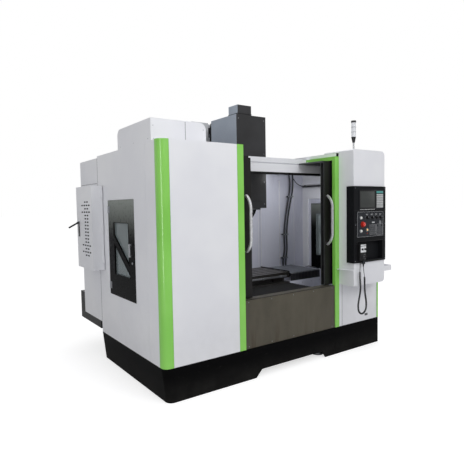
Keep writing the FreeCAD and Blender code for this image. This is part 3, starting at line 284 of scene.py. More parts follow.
def satin_black(s):
    """Black stoved enamel with scuffs and dust near the floor."""
    scuffs = s.noise(24.0, 5.0, 0.7, (1.0, 1.0, 3.0)).ramp(0.58, 0.74)
    dust = s.z.ramp(0.22, 0.0) * s.noise(9.0, 4.0)
    colour = (scuffs * 0.05 + dust * 0.10).colours(rgb(11, 11, 12), rgb(120, 118, 114))
    return Finish(colour, scuffs * 0.15 + 0.36, 0.0, s.noise(520.0, 3.0) * 0.00003)


def dark_enamel(s, light=rgb(44, 45, 48), shade=rgb(34, 33, 34), rough=0.3):
    """Dark machine enamel: satin, fine grained, worn paler in a few small rubs."""
    tone = s.noise(3.0, 3.0).ramp(0.35, 0.7).colours(light, shade)
    rubs = s.noise(32.0, 5.0, 0.68, (1.0, 1.0, 2.5)).ramp(0.64, 0.76)
    colour = (rubs * 0.05).colours(tone, rgb(122, 120, 116))
    return Finish(colour, rubs * 0.12 + s.noise(26.0, 3.0) * 0.08 + rough, 0.0,
                  s.noise(480.0, 3.0) * 0.00002)


def door_paint(s):
    return dark_enamel(s, rgb(32, 31, 31), rgb(24, 22, 22), 0.34)


def apron_steel(s):
    """Raw brushed sheet: long grain lines along x, tea-coloured drip stains towards the bottom."""
    grain = s.noise(90.0, 4.0, 0.6, (0.06, 1.0, 6.0))
    clouds = s.noise(5.0, 4.0, 0.62, (1.0, 1.0, 0.4))
    base = clouds.ramp(0.3, 0.7).colours(rgb(84, 79, 67), rgb(68, 64, 54))
    brushed = (grain * 0.5).colours(base, rgb(98, 93, 82))
    drips = s.noise(16.0, 4.0, 0.6, (1.0, 1.0, 0.10)).ramp(0.52, 0.74) * s.z.ramp(0.55, 0.30)
    colour = (drips * 0.55).colours(brushed, rgb(62, 50, 38))
    return Finish(colour, grain * 0.16 + 0.36, 0.3, grain * 0.00003)


def machined_iron(s):
    """Ground cast iron: fine tool marks across, patches darkened by oil; faces not turned up are a plain
    dark grey of painted shade.
    """
    marks = s.noise(150.0, 3.0, 0.6, (4.0, 0.08, 1.0))
    oil = s.noise(7.0, 5.0, 0.66).ramp(0.48, 0.72)
    base = marks.ramp(0.3, 0.7).colours(rgb(92, 89, 85), rgb(72, 69, 66))
    top = (oil * 0.6).colours(base, rgb(44, 40, 36))
    # painted shade: faces not turned up are dark grey, while the tops keep the ground iron
    painted_light_from_above = s.facing[2].ramp(0.5, 0.9)
    colour = painted_light_from_above.colours(rgb(44, 42, 40), top)
    return Finish(colour, marks * 0.15 + 0.3 - oil * 0.1, 0.45, marks * 0.00004)


def painted_casting(s):
    """Thick grey-white paint over rough iron."""
    tone = s.noise(5.0, 4.0).ramp(0.3, 0.7).colours(rgb(188, 190, 194), rgb(178, 181, 186))
    return Finish(tone, 0.42 + s.noise(20.0, 3.0) * 0.1, 0.0, s.noise(70.0, 5.0, 0.62) * 0.0006, 0.1)


def bright_steel(s):
    """Drawn and polished steel with hairline scratches."""
    lines = s.noise(260.0, 3.0, 0.6, (1.0, 1.0, 0.1))
    colour = lines.ramp(0.3, 0.75).colours(rgb(206, 208, 210), rgb(166, 168, 172))
    return Finish(colour, lines * 0.14 + 0.16, 0.95, lines * 0.00001)


def satin_bar(s):
    """Polished flat bar, brushed along its length."""
    lines = s.noise(220.0, 3.0, 0.6, (1.0, 1.0, 0.08))
    colour = lines.ramp(0.3, 0.75).colours(rgb(232, 232, 234), rgb(206, 207, 210))
    return Finish(colour, lines * 0.12 + 0.22, 0.55, lines * 0.000008)


def way_cover(s):
    """Coated bellows cloth: a grey painted sheen on the folds' tops, black down the sides."""
    # painted light: faces turned up are grey, the sides black; the noise varies the sheen's grey and the
    # roughness
    painted_light_from_above = s.facing[2].ramp(0.4, 0.9)
    wear_and_sheen = s.noise(30.0, 4.0).ramp(0.4, 0.75)
    colour = painted_light_from_above.colours(rgb(26, 26, 30), wear_and_sheen.colours(rgb(78, 81, 88), rgb(104, 108, 116)))
    return Finish(colour, wear_and_sheen * 0.1 + 0.34, 0.0, s.noise(600.0, 3.0) * 0.00004)


def zinc(s):
    """Zinc plate: crystalline patches, dull shine."""
    patches = s.cells(160.0)
    colour = patches.ramp(0.0, 0.9).colours(rgb(170, 172, 176), rgb(138, 140, 146))
    return Finish(colour, patches * 0.2 + 0.26, 0.85, s.noise(320.0, 3.0) * 0.00001)


def black_plastic(s):
    """Fine-textured moulded plastic, rubbed shinier in places."""
    grain = s.cells(1400.0)
    rub = s.noise(60.0, 4.0).ramp(0.45, 0.7)
    colour = (rub * 0.25).colours(rgb(22, 22, 24), rgb(42, 42, 45))
    return Finish(colour, 0.46 - rub * 0.16, 0.0, grain * 0.00008)


def rubber(s):
    """Black rubber with a bloom."""
    bloom = s.noise(36.0, 4.0).ramp(0.45, 0.75)
    colour = (bloom * 0.3).colours(rgb(18, 18, 19), rgb(66, 66, 68))
    return Finish(colour, 0.62 + bloom * 0.1, 0.0, s.noise(600.0, 3.0) * 0.00006)


def plastic(s, light, shade, rough=0.3):
    tone = s.noise(60.0, 3.0).ramp(0.35, 0.7).colours(light, shade)
    return Finish(tone, s.noise(150.0, 3.0) * 0.1 + rough, 0.0, s.noise(900.0, 2.0) * 0.00002, 0.1)


def motor_paint(s):
    """Servo motor black: coarse crinkle."""
    crinkle = s.cells(700.0, "SMOOTH_F1")
    colour = crinkle.ramp(0.1, 0.6).colours(rgb(30, 30, 33), rgb(20, 20, 22))
    return Finish(colour, 0.5, 0.0, crinkle * 0.0003)


def cover_paint_and_painted_light(s):
    """The head cover and motor: dark outside paint, with painted light on the faces turned left, which are
    paler and cooler.
    """
    # painted light: faces turned left get a pale blue-grey copy of the paint in place of the dark one
    side = (s.facing[0] * -1.0).ramp(0.6, 0.9)
    left = enamel(s, rgb(164, 173, 184), rgb(146, 155, 168), 0.3)
    return dark_enamel(s, rgb(54, 54, 56), rgb(44, 44, 45), 0.3).under(side, left)


def door_paint_and_painted_light(s):
    """Leaf paint, with painted light on the faces turned left, which are a paler grey; the pull bar in
    front of the leaf is bare flat steel.
    """
    bar = s.front_of(59.9)
    # painted light: faces turned left get a paler grey copy of the leaf paint
    side = (s.facing[0] * -1.0).ramp(0.6, 0.9)
    pale = dark_enamel(s, rgb(86, 90, 90), rgb(74, 76, 76), 0.26)
    return door_paint(s).under(side, pale).under(bar, satin_bar(s))


def side_door_paint_and_painted_light(s):
    """The side leaf is near black low down and grows lighter up to a pale grey at its top, which is painted
    light; its pull is plated.
    """
    pull = s.left_of(-5.0) + s.right_of(2605.5)
    # painted light: the leaf is lighter towards its top, from 1.2 m to 1.72 m
    painted_top_light = s.z.ramp(1.2, 1.72)
    tone = painted_top_light.colours(rgb(9, 10, 11), rgb(150, 156, 151))
    clouds = (s.noise(4.0, 4.0) * 0.05).colours(tone, rgb(50, 52, 52))
    leaf = Finish(clouds, 0.24 + s.noise(30.0, 3.0) * 0.08, 0.0, s.noise(480.0, 3.0) * 0.000012)
    return leaf.under(pull, bright_steel(s))


def front_panel_finish(s):
    return white_enamel(s).under(s.right_of(716.5), green_gloss(s))


def right_panel_finish(s):
    return white_enamel(s).under(s.right_of(2573.5) * s.front_of(30.5), green_gloss(s))


def rear_finish(s):
    duct = s.below(376.5) + s.behind(1915.0)
    return white_enamel(s).under(duct, satin_black(s))


def cabinet_door_finish(s):
    plate = s.left_of(-115.5)
    return white_enamel(s).under(plate, black_plastic(s))


def conduit_finish(s):
    """Dark ribbed hose, plated clips, white pipe and rail on the right wall."""
    ribs = (s.z * (1 / 0.006)) % 1.0
    rib_shape_and_painted_light = ribs * (1 - ribs) * 4.0
    # painted highlight and painted shade: each rib's crest is lighter and the grooves between are darker
    hose = Finish(rib_shape_and_painted_light.colours(rgb(40, 41, 44), rgb(70, 71, 76)), 0.4, 0.0, rib_shape_and_painted_light * 0.0009)
    clip = s.behind(1128.5) + s.below(728.5) + s.front_of(1107.5)
    return hose.under(clip.ramp(0.0, 0.5), zinc(s)).under(
        s.right_of(2500.0), dark_enamel(s)).under(s.right_of(2500.0) * s.above(1762.0), white_enamel(s))


def control_finish(s):
    """The operator box: black crinkle paint, a red collar, a slate keypad and dark panels."""
    body = Finish(s.noise(3.0, 3.0).colours(rgb(20, 21, 23), rgb(29, 30, 33)), 0.4, 0.0,
                  s.cells(900.0, "SMOOTH_F1") * 0.00008)
    inset = s.front_of(-202.4)
    grey = plastic(s, rgb(50, 52, 56), rgb(42, 44, 48), 0.36)
    dx, dz = s.x - at(E_STOP[0], 0, 0).x, s.z - E_STOP[1] * MM
    collar = (dx * dx + dz * dz < (E_STOP_COLLAR * MM) ** 2) * s.front_of(-203.5) * s.below(1340.5)
    red = plastic(s, rgb(168, 46, 34), rgb(148, 38, 28), 0.28)
    return body.under(inset, grey).under(collar, red)


def lamp_finish(s):
    """A pale translucent tower between a dark foot and a dark cap."""
    dark = black_plastic(s)
    pole = s.near(*LAMP_AXIS, 9.5)
    tower = s.above(2217.0) * s.below(2370.5)
    ribs = (s.z * (1 / 0.004)) % 1.0
    pale = Finish(rgb(214, 216, 220), 0.22, 0.0, ribs * (1 - ribs) * 0.0008, 0.3)
    return dark.under(tower, pale).under(pole * s.below(2160.0), bright_steel(s))


def moulded(name, light, shade, rough, sockets=None):
    return paint(name, lambda s: plastic(s, rgb(*light), rgb(*shade), rough), sockets)


def cord_jacket(s):
    tone = s.noise(80.0, 3.0).colours(rgb(20, 20, 22), rgb(34, 34, 37))
    return Finish(tone, 0.38, 0.0, s.noise(900.0, 2.0) * 0.00003)


def screen_glass(s):
    """Dark grey glass with a faint smear."""
    tone = s.noise(3.0, 2.0).colours(rgb(52, 55, 54), rgb(66, 68, 67))
    return Finish(tone, 0.2 + s.noise(40.0, 4.0) * 0.05, 0.0, s.noise(30.0, 2.0) * 0.00001, 0.1)


# A near-black matt sheet behind the vent's louvres: painted shade inside the vent.
def liner_painted_shade(s):
    tone = s.noise(90.0, 3.0).colours(rgb(8, 8, 9), rgb(16, 16, 17))
    return Finish(tone, 0.9, 0.0, s.noise(400.0, 3.0) * 0.0002)


def pane(s, light, shade, rough):
    """Tinted sheet glass with a slight wave."""
    return Finish(s.noise(3.0, 3.0).colours(light, shade), s.noise(26.0, 4.0) * 0.06 + rough, 0.0,
                  s.noise(12.0, 2.0) * 0.00002)


WHITE = paint("white enamel", white_enamel)
INNER = paint("washed inner white", inner_white)
SADDLE = paint("saddle paint and painted shade", saddle_paint_and_painted_shade)
WAY_COVER = paint("coated bellows cloth", way_cover)
GREEN = paint("apple green enamel", green_gloss)
BLACK = paint("satin black enamel", satin_black, shine(0.02))
APRON = paint("brushed apron sheet", apron_steel)
IRON = paint("ground table iron", machined_iron)
CASTING = paint("painted casting", painted_casting)
STEEL = paint("bright steel", bright_steel)
ZINC = paint("zinc plate", zinc)
KNOB = paint("moulded black plastic", black_plastic, shine(0.25))
RUBBER = paint("black rubber", rubber, shine(0.15))
MOTOR = paint("servo motor crinkle", motor_paint, shine(0.25))
COVER = paint("head cover paint and painted light", cover_paint_and_painted_light, shine(0.25))
DOOR = paint("door leaf paint and painted light", door_paint_and_painted_light, shine(0.2))
SIDE_LEAF = paint("side leaf paint and painted light", side_door_paint_and_painted_light, shine(0.03))
FRONT = paint("front panel paint", front_panel_finish)
RIGHT = paint("right panel paint", right_panel_finish)
REAR = paint("rear case paint", rear_finish, shine(0.2))
VENT = paint("vent case paint", cabinet_door_finish)
HOSES = paint("hose and pipe finishes", conduit_finish)
CONTROL = paint("operator box finishes", control_finish, shine(0.06))
LAMP = paint("lamp finishes", lamp_finish)
RED = moulded("red button plastic", (206, 44, 30), (184, 32, 24), 0.22)
BUTTON = moulded("white button plastic", (236, 236, 232), (222, 222, 220), 0.25)
KEYCAP = moulded("grey key plastic", (196, 198, 198), (178, 180, 182), 0.34)
DARK_KEY = moulded("charcoal key plastic", (84, 86, 90), (70, 72, 76), 0.34)
TEAL = moulded("teal strip", (74, 152, 148), (62, 138, 134), 0.3)
LEGEND = moulded("pale legend ink", (202, 204, 206), (184, 186, 190), 0.4)
AMBER = moulded("amber lens", (250, 214, 130), (246, 196, 96), 0.18,
                {"Emission Color": rgb(255, 196, 90), "Emission Strength": 0.5})
RED_LENS = moulded("red lens", (190, 60, 44), (172, 46, 36), 0.18)
PENDANT = moulded("pendant silver face", (224, 226, 228), (204, 206, 210), 0.26)
CORD = paint("cord jacket", cord_jacket)
SCREEN = paint("screen glass", screen_glass, shine(0.2))
LINER = paint("vent liner painted shade", liner_painted_shade, shine(0.05))
GLASS = paint("tinted door glass", lambda s: pane(s, rgb(160, 172, 174), rgb(146, 160, 162), 0.02),
              {"Transmission Weight": 0.85, "IOR": 1.3})
SIDE_GLASS = paint("frosted side glass", lambda s: pane(s, rgb(176, 186, 188), rgb(160, 172, 174), 0.08),
                   {"Transmission Weight": 0.6, "IOR": 1.3})


# ---------------------------------------------------------------- mesh helpers

def in_scene(name, data):
    thing = bpy.data.objects.new(name, data)
    bpy.context.scene.collection.objects.link(thing)
    return thing


def as_piece(name, built, material):
    """A built-up mesh as an object in the scene, with its finish."""
    data = bpy.data.meshes.new(name)
    built.to_mesh(data)
    built.free()
    data.materials.append(material)
    return in_scene(name, data)


def square_to(ahead, side=None):
    """Two directions square to a line; a side handed in is kept, so that a tube doesn't twist."""
    side = (ahead.orthogonal() if side is None else side - ahead * side.dot(ahead)).normalized()
    return side, ahead.cross(side)


def grid(xs, ys, zs):
    """Every place where one of each meets."""
    return [(x, y, z) for x in xs for y in ys for z in zs]


def dial(x, z, radius, turn):
    """A place on an upright circle seen from the front, its turn measured from the top."""
    return x + math.sin(turn) * radius, z + math.cos(turn) * radius


class Mesh:
    """A mesh built up in layout millimetres from bevelled blocks, rods and pushed outlines."""

    def __init__(self):
        self.bm = bmesh.new()

    def block(self, x0, x1, y0, y1, z0, z1, edge=0.8, cuts=2):
        lo, hi = at(x0, y0, z0), at(x1, y1, z1)
        size = hi - lo
        spread = Matrix.Translation((lo + hi) / 2) @ Matrix.Diagonal((*size, 1.0))
        made = bmesh.ops.create_cube(self.bm, size=1.0, matrix=spread)
        if edge:
            edges = list({e for v in made["verts"] for e in v.link_edges})
            width = min(edge * MM, min(size) * 0.45)
            bmesh.ops.bevel(self.bm, geom=edges, offset=width, segments=cuts, affect="EDGES", profile=0.5)
        return self

    def rod(self, start, end, radius, tip=None, sides=28, edge=0.5):
        """A turned rod, or a cone when its tip radius differs."""
        a, b = at(*start), at(*end)
        tip = radius if tip is None else tip
        line = b - a
        turn = line.to_track_quat("Z", "Y").to_matrix().to_4x4()
        made = bmesh.ops.create_cone(self.bm, cap_ends=True, segments=sides, radius1=radius * MM,
                                     radius2=tip * MM, depth=line.length,
                                     matrix=Matrix.Translation((a + b) / 2) @ turn)
        if edge and min(radius, tip) > edge * 1.5 and line.length > edge * MM * 2.5:
            rims = [e for v in made["verts"] for e in v.link_edges
                    if any(len(f.verts) > 4 for f in e.link_faces)]
            bmesh.ops.bevel(self.bm, geom=list(set(rims)), offset=edge * MM, segments=2, affect="EDGES",
                            profile=0.5)
        return self

    def circle(self, centre, side, up, radius, sides):
        """Corners on a circle, its radius in millimetres."""
        turns = (2 * math.pi * k / sides for k in range(sides))
        return [self.bm.verts.new(centre + (side * math.cos(t) + up * math.sin(t)) * radius * MM)
                for t in turns]

    def skin(self, rows, sides):
        """Faces between each circle and the next one."""
        for row, after in rows:
            for k in range(sides):
                self.bm.faces.new((row[k], row[(k + 1) % sides], after[(k + 1) % sides], after[k]))
        return self

    def ring(self, centre, axis, outer, inner, depth, sides=40):
        """A flat turned ring lying along an axis."""
        c, d = at(*centre), Vector(axis).normalized()
        side, up = square_to(d)
        rows = [self.circle(c + d * shift * MM, side, up, radius, sides)
                for radius, shift in ((outer, 0), (outer, depth), (inner, depth), (inner, 0))]
        return self.skin(zip(rows, rows[1:] + rows[:1]), sides)

    def push(self, outline, shift, edge=0.0):
        """A flat closed outline pushed along a shift, both in layout millimetres."""
        away = Vector(shift) * MM
        near = [self.bm.verts.new(at(*p)) for p in outline]
        far = [self.bm.verts.new(at(*p) + away) for p in outline]
        faces = [self.bm.faces.new(near), self.bm.faces.new(list(reversed(far)))]
        for k in range(len(outline)):
            j = (k + 1) % len(outline)
            faces.append(self.bm.faces.new((near[k], far[k], far[j], near[j])))
        if edge:
            edges = list({e for f in faces for e in f.edges})
            bmesh.ops.bevel(self.bm, geom=edges, offset=edge * MM, segments=2, affect="EDGES", profile=0.5)
        return self

    def tube(self, points, radius, sides=14):
        """A round tube through points, in layout millimetres."""
        spots = [at(*p) for p in points]
        rows, side = [], None
        for k, spot in enumerate(spots):
            ahead = (spots[min(k + 1, len(spots) - 1)] - spots[max(k - 1, 0)]).normalized()
            side, up = square_to(ahead, side)
            rows.append(self.circle(spot, side, up, radius, sides))
        self.bm.faces.new(list(reversed(rows[0])))
        self.bm.faces.new(rows[-1])
        return self.skin(zip(rows, rows[1:]), sides)

    def screw_head(self, x, y, z, axis, radius=5.0, rise=2.4):
        """A button-head cap screw with a hex socket, standing on a face."""
        d = Vector(axis).normalized()
        tip = (x + d.x * rise, y + d.y * rise, z + d.z * rise)
        self.rod((x - d.x, y - d.y, z - d.z), tip, radius, radius * 0.72, 20, 0.4)
        rim = (tip[0] - d.x * 0.6, tip[1] - d.y * 0.6, tip[2] - d.z * 0.6)
        return self.ring(rim, axis, radius * 0.5, radius * 0.34, 0.8, 6)

    def blocks(self, boxes, edge=0.8, cuts=2):
        """Several blocks with the same edge."""
        for box in boxes:
            self.block(*box, edge, cuts)
        return self

    def screws(self, spots, axis, radius=5.0, rise=2.4):
        """One screw head at every spot."""
        for spot in spots:
            self.screw_head(*spot, axis, radius, rise)
        return self

    def done(self, name, material, slot, body="root"):
        """The finished piece, riding on its body; most are fixed to the enclosure, the root."""
        bmesh.ops.recalc_face_normals(self.bm, faces=self.bm.faces)
        piece = as_piece(name, self.bm, material)
        for polygon in piece.data.polygons:
            polygon.use_smooth = True
        piece.data.set_sharp_from_angle(angle=math.radians(35))
        settle(piece, body)
        return piece


def settle(piece, body, replaces=()):
    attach(piece, body)
    if replaces:
        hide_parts(*replaces)


def dress(node, material, bevel=0.0):
    """Give a CAD node its finish and, where it helps, softened edges."""
    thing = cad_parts[node]
    thing = bpy.data.objects[thing] if isinstance(thing, str) else thing
    if not thing.material_slots:
        thing.data.materials.append(material)
    for place in thing.material_slots:
        place.material = material
    if bevel:
        soft = thing.modifiers.new("soft edges", "BEVEL")
        soft.width = bevel * MM
        soft.segments = 2
        soft.limit_method = "ANGLE"
        soft.angle_limit = math.radians(40)
        soft.harden_normals = False


# ---------------------------------------------------------------- finishes on the CAD nodes

def dress_nodes():
    plain = {
        WHITE: ("left_side_wall", "magazine_hood", "operator_cabinet", "cross_beam"),
        INNER: ("splash_guards",), SADDLE: ("saddle",),
        GREEN: ("left_corner_post", "right_door_post"),
        BLACK: ("base_skirt", "arm_shaft"),
        APRON: ("apron_panel",), IRON: ("table",),
        CASTING: ("bed_casting", "column_casting", "head_casting", "changer_frame"),
        STEEL: ("fixed_guide_rails", "x_ballscrew", "y_ballscrew", "z_ballscrew", "spindle", "key_switch"),
        ZINC: ("magazine_disc", "tool_change_arm", "levelling_feet"),
        MOTOR: ("fixed_axis_motors", "x_axis_motor"), COVER: ("head_cover", "spindle_motor"),
        DOOR: ("left_door", "right_door"), SIDE_LEAF: ("left_side_door", "right_side_door"),
        GLASS: ("left_door_glass", "right_door_glass"),
        SIDE_GLASS: ("left_side_glass", "right_side_glass"),
        FRONT: ("left_front_panel",), RIGHT: ("right_column_panel",), REAR: ("rear_enclosure",),
        VENT: ("cabinet_door",), HOSES: ("wall_conduits",), CONTROL: ("control_box",),
        LAMP: ("signal_lamp",),
        RED: ("e_stop",), BUTTON: ("start_button", "stop_button"),
        KNOB: ("cabinet_lever", "mode_knob", "feed_knob", "rapid_knob", "spindle_knob", "pendant_wheel",
               "pendant_axis_knob", "pendant_step_knob", "pendant_body"),
    }
    softened = {"table": 1.2, "cross_beam": 1.0, "left_side_wall": 0.8, "base_skirt": 1.0,
                "right_door_post": 2.0, "saddle": 1.5, "changer_frame": 3.0, "column_casting": 6.0,
                "bed_casting": 6.0, "operator_cabinet": 1.2, "spindle_motor": 1.5,
                "cabinet_lever": 1.2, "tool_change_arm": 1.5}
    for material, nodes in plain.items():
        for node in nodes:
            dress(node, material, softened.get(node, 0.0))


# ---------------------------------------------------------------- pendant cord

CORD_ROUTE = [(2026, -218, 962), (2026, -218, 922), (2023, -215, 872), (2027, -211, 812),
              (2038, -208, 745), (2043, -208, 680), (2030, -209, 618), (2008, -212, 562),
              (1994, -216, 512), (1996, -220, 468), (2023, -223, 438), (2064, -225, 436),
              (2094, -228, 464), (2100, -232, 508), (2090, -237, 568), (2068, -242, 630),
              (2058, -244, 694), (2064, -240, 758), (2074, -229, 816), (2077, -214, 868),
              (2077, -214, 925)]
WIRE = 6.0
COIL_RADIUS = 6.4
COIL_PITCH = 7.2
COIL_FROM = 108.0
COIL_TO = 962.0
STEPS_PER_TURN = 14
RELIEF_STEPS = (0, 8, 16, 24, 30)


def nurbs(name, points):
    curve = bpy.data.curves.new(name, "CURVE")
    curve.dimensions = "3D"
    spline = curve.splines.new("NURBS")
    spline.points.add(len(points) - 1)
    for place, point in zip(spline.points, points):
        place.co = (*point, 1.0)
    spline.order_u = 3
    spline.use_endpoint_u = True
    return curve


def wire(name, points, diameter, sides, steps):
    """A round wire on a smooth line, closed at both ends, and the length of its line of points."""
    curve = nurbs(name, points)
    curve.bevel_depth = diameter / 2 * MM
    curve.bevel_resolution = sides
    curve.resolution_u = steps
    curve.use_fill_caps = True
    curve.materials.append(CORD)
    return in_scene(name, curve), sum((b - a).length for a, b in zip(points, points[1:]))


def route_line():
    """Points along the cord's smooth route, with the distance run at each."""
    curve = nurbs("cord route", [at(*p) for p in CORD_ROUTE])
    curve.resolution_u = 24
    guide = in_scene("cord_route", curve)
    bpy.context.view_layer.update()
    line = bpy.data.meshes.new_from_object(guide)
    spots = [v.co.copy() for v in line.vertices]
    bpy.data.objects.remove(guide)
    runs = [0.0]
    for a, b in zip(spots, spots[1:]):
        runs.append(runs[-1] + (b - a).length)
    return spots, runs


def along(spots, runs, distance):
    for k in range(1, len(runs)):
        if runs[k] >= distance:
            share = (distance - runs[k - 1]) / max(runs[k] - runs[k - 1], 1e-9)
            return spots[k - 1].lerp(spots[k], share), (spots[k] - spots[k - 1]).normalized()
    return spots[-1], (spots[-1] - spots[-2]).normalized()


def pendant_cord():
    """The pendant's curly cord: straight leads, and a close helix wound round the route between."""
    spots, runs = route_line()
    first, last = COIL_FROM * MM, COIL_TO * MM
    turns = (last - first) / (COIL_PITCH * MM)
    points = [along(spots, runs, d * MM)[0] for d in (0, 25, 50, 75, COIL_FROM - 16)]
    side, count = None, int(turns * STEPS_PER_TURN)
    for k in range(count + 1):
        spot, ahead = along(spots, runs, first + (last - first) * k / count)
        side, up = square_to(ahead, side)
        turn = 2 * math.pi * k / STEPS_PER_TURN
        grow = min(1.0, k / STEPS_PER_TURN, (count - k) / STEPS_PER_TURN)
        reach = COIL_RADIUS * MM * grow
        points.append(spot + (side * math.cos(turn) + up * math.sin(turn)) * reach)
    total = runs[-1]
    points += [along(spots, runs, d)[0] for d in (last + 16 * MM, last + 34 * MM, total - 26 * MM, total)]
    cord, length = wire("pendant_cord_curly", points, WIRE, 3, 2)
    settle(cord, "root", ("pendant_cord",))
    for name, start, way in (("cord_relief_top", 0.0, 1), ("cord_relief_gland", total, -1)):
        spine = [along(spots, runs, start + way * d * MM)[0] for d in RELIEF_STEPS]
        relief = Mesh()
        for k, (a, b) in enumerate(zip(spine, spine[1:])):
            relief.rod(layout(a), layout(b), 8.0 - k * 1.1, 7.4 - k * 1.1, 24, 0.3)
        relief.done(name, RUBBER, "cord")


LIMP_ROUTE = [(2400, 1106, 1842), (2412, 1103, 1818), (2440, 1100, 1788), (2482, 1098, 1766),
              (2526, 1100, 1752), (2556, 1106, 1748), (2570, 1112, 1747)]
LIMP_WIRE = 9.0


def limp_cable():
    """A short cable hanging from the hoses to the pipe on the right wall."""
    points = [at(*p) for p in LIMP_ROUTE]
    cable, length = wire("limp_cable", points, LIMP_WIRE, 4, 16)
    settle(cable, "root")


# ---------------------------------------------------------------- bellows

PLEAT_DEPTH = 3.4
PLEAT_CORNER = 10.0
CLOTH_THICK = 1.6


def pleats(name, node, axis, count, cloth, outward=False):
    """A folded cover in a CAD bellows' place: zigzag pleats over the top and down both sides."""
    lowest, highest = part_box(node)
    lo, hi = layout(lowest), layout(highest)
    run, across = (0, 1) if axis == "x" else (1, 0)
    mesh, rows = bmesh.new(), []
    steps = count * 2
    for k in range(steps + 1):
        inset = PLEAT_DEPTH if k % 2 else 0.0
        near, far, top = lo[across] + inset, hi[across] - inset, hi[2] - inset
        row = []
        for side, z in ((near, lo[2]), (near, top - PLEAT_CORNER), (near + PLEAT_CORNER, top),
                        (far - PLEAT_CORNER, top), (far, top - PLEAT_CORNER), (far, lo[2])):
            spot = [0.0, 0.0, z]
            spot[run], spot[across] = lo[run] + (hi[run] - lo[run]) * k / steps, side
            row.append(mesh.verts.new(at(*spot)))
        rows.append(row)
    for row, after in zip(rows, rows[1:]):
        for j in range(len(row) - 1):
            mesh.faces.new((row[j], row[j + 1], after[j + 1], after[j]))
    bmesh.ops.recalc_face_normals(mesh, faces=mesh.faces)
    piece = as_piece(name, mesh, cloth)
    wall = piece.modifiers.new("cloth thickness", "SOLIDIFY")
    wall.thickness = CLOTH_THICK * MM
    wall.offset = -1.0
    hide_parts(node)
    ends = [[0.0, 0.0, 0.0], [0.0, 0.0, 0.0]]
    ends[0][run], ends[1][run] = (hi[run], lo[run]) if outward else (lo[run], hi[run])
    at(*ends[0])
    at(*ends[1])
    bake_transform(piece)


def bellows():
    """The three folded covers, each standing for its CAD bellows."""
    pleats("x_cover_left", "x_bellows_left", "x", 16, WAY_COVER)
    pleats("x_cover_right", "x_bellows_right", "x", 20, WAY_COVER, outward=True)
    pleats("y_cover_front", "y_bellows", "y", 16, RUBBER)


# ---------------------------------------------------------------- operator box

BOX_FACE = -200.0
PANEL_FACE = -203.0


def key_grid(mesh, x0, x1, z0, z1, columns, rows, gap=3.0, rise=3.0, face=PANEL_FACE, skip=()):
    """Rows of square keys with softened edges, standing on a panel."""
    wide, tall = (x1 - x0 - gap * (columns - 1)) / columns, (z1 - z0 - gap * (rows - 1)) / rows
    for column in range(columns):
        for row in range(rows):
            if (column, row) in skip:
                continue
            x, z = x0 + column * (wide + gap), z0 + row * (tall + gap)
            mesh.block(x, x + wide, face - rise, face + 0.5, z, z + tall, 1.0)
    return mesh


def frame_bars(mesh, x0, x1, z0, z1, thick, face, rise):
    mesh.block(x0, x1, face - rise, face + 0.5, z0, z0 + thick, 0.4)
    mesh.block(x0, x1, face - rise, face + 0.5, z1 - thick, z1, 0.4)
    mesh.block(x0, x0 + thick, face - rise, face + 0.5, z0 + thick, z1 - thick, 0.4)
    mesh.block(x1 - thick, x1, face - rise, face + 0.5, z0 + thick, z1 - thick, 0.4)
    return mesh


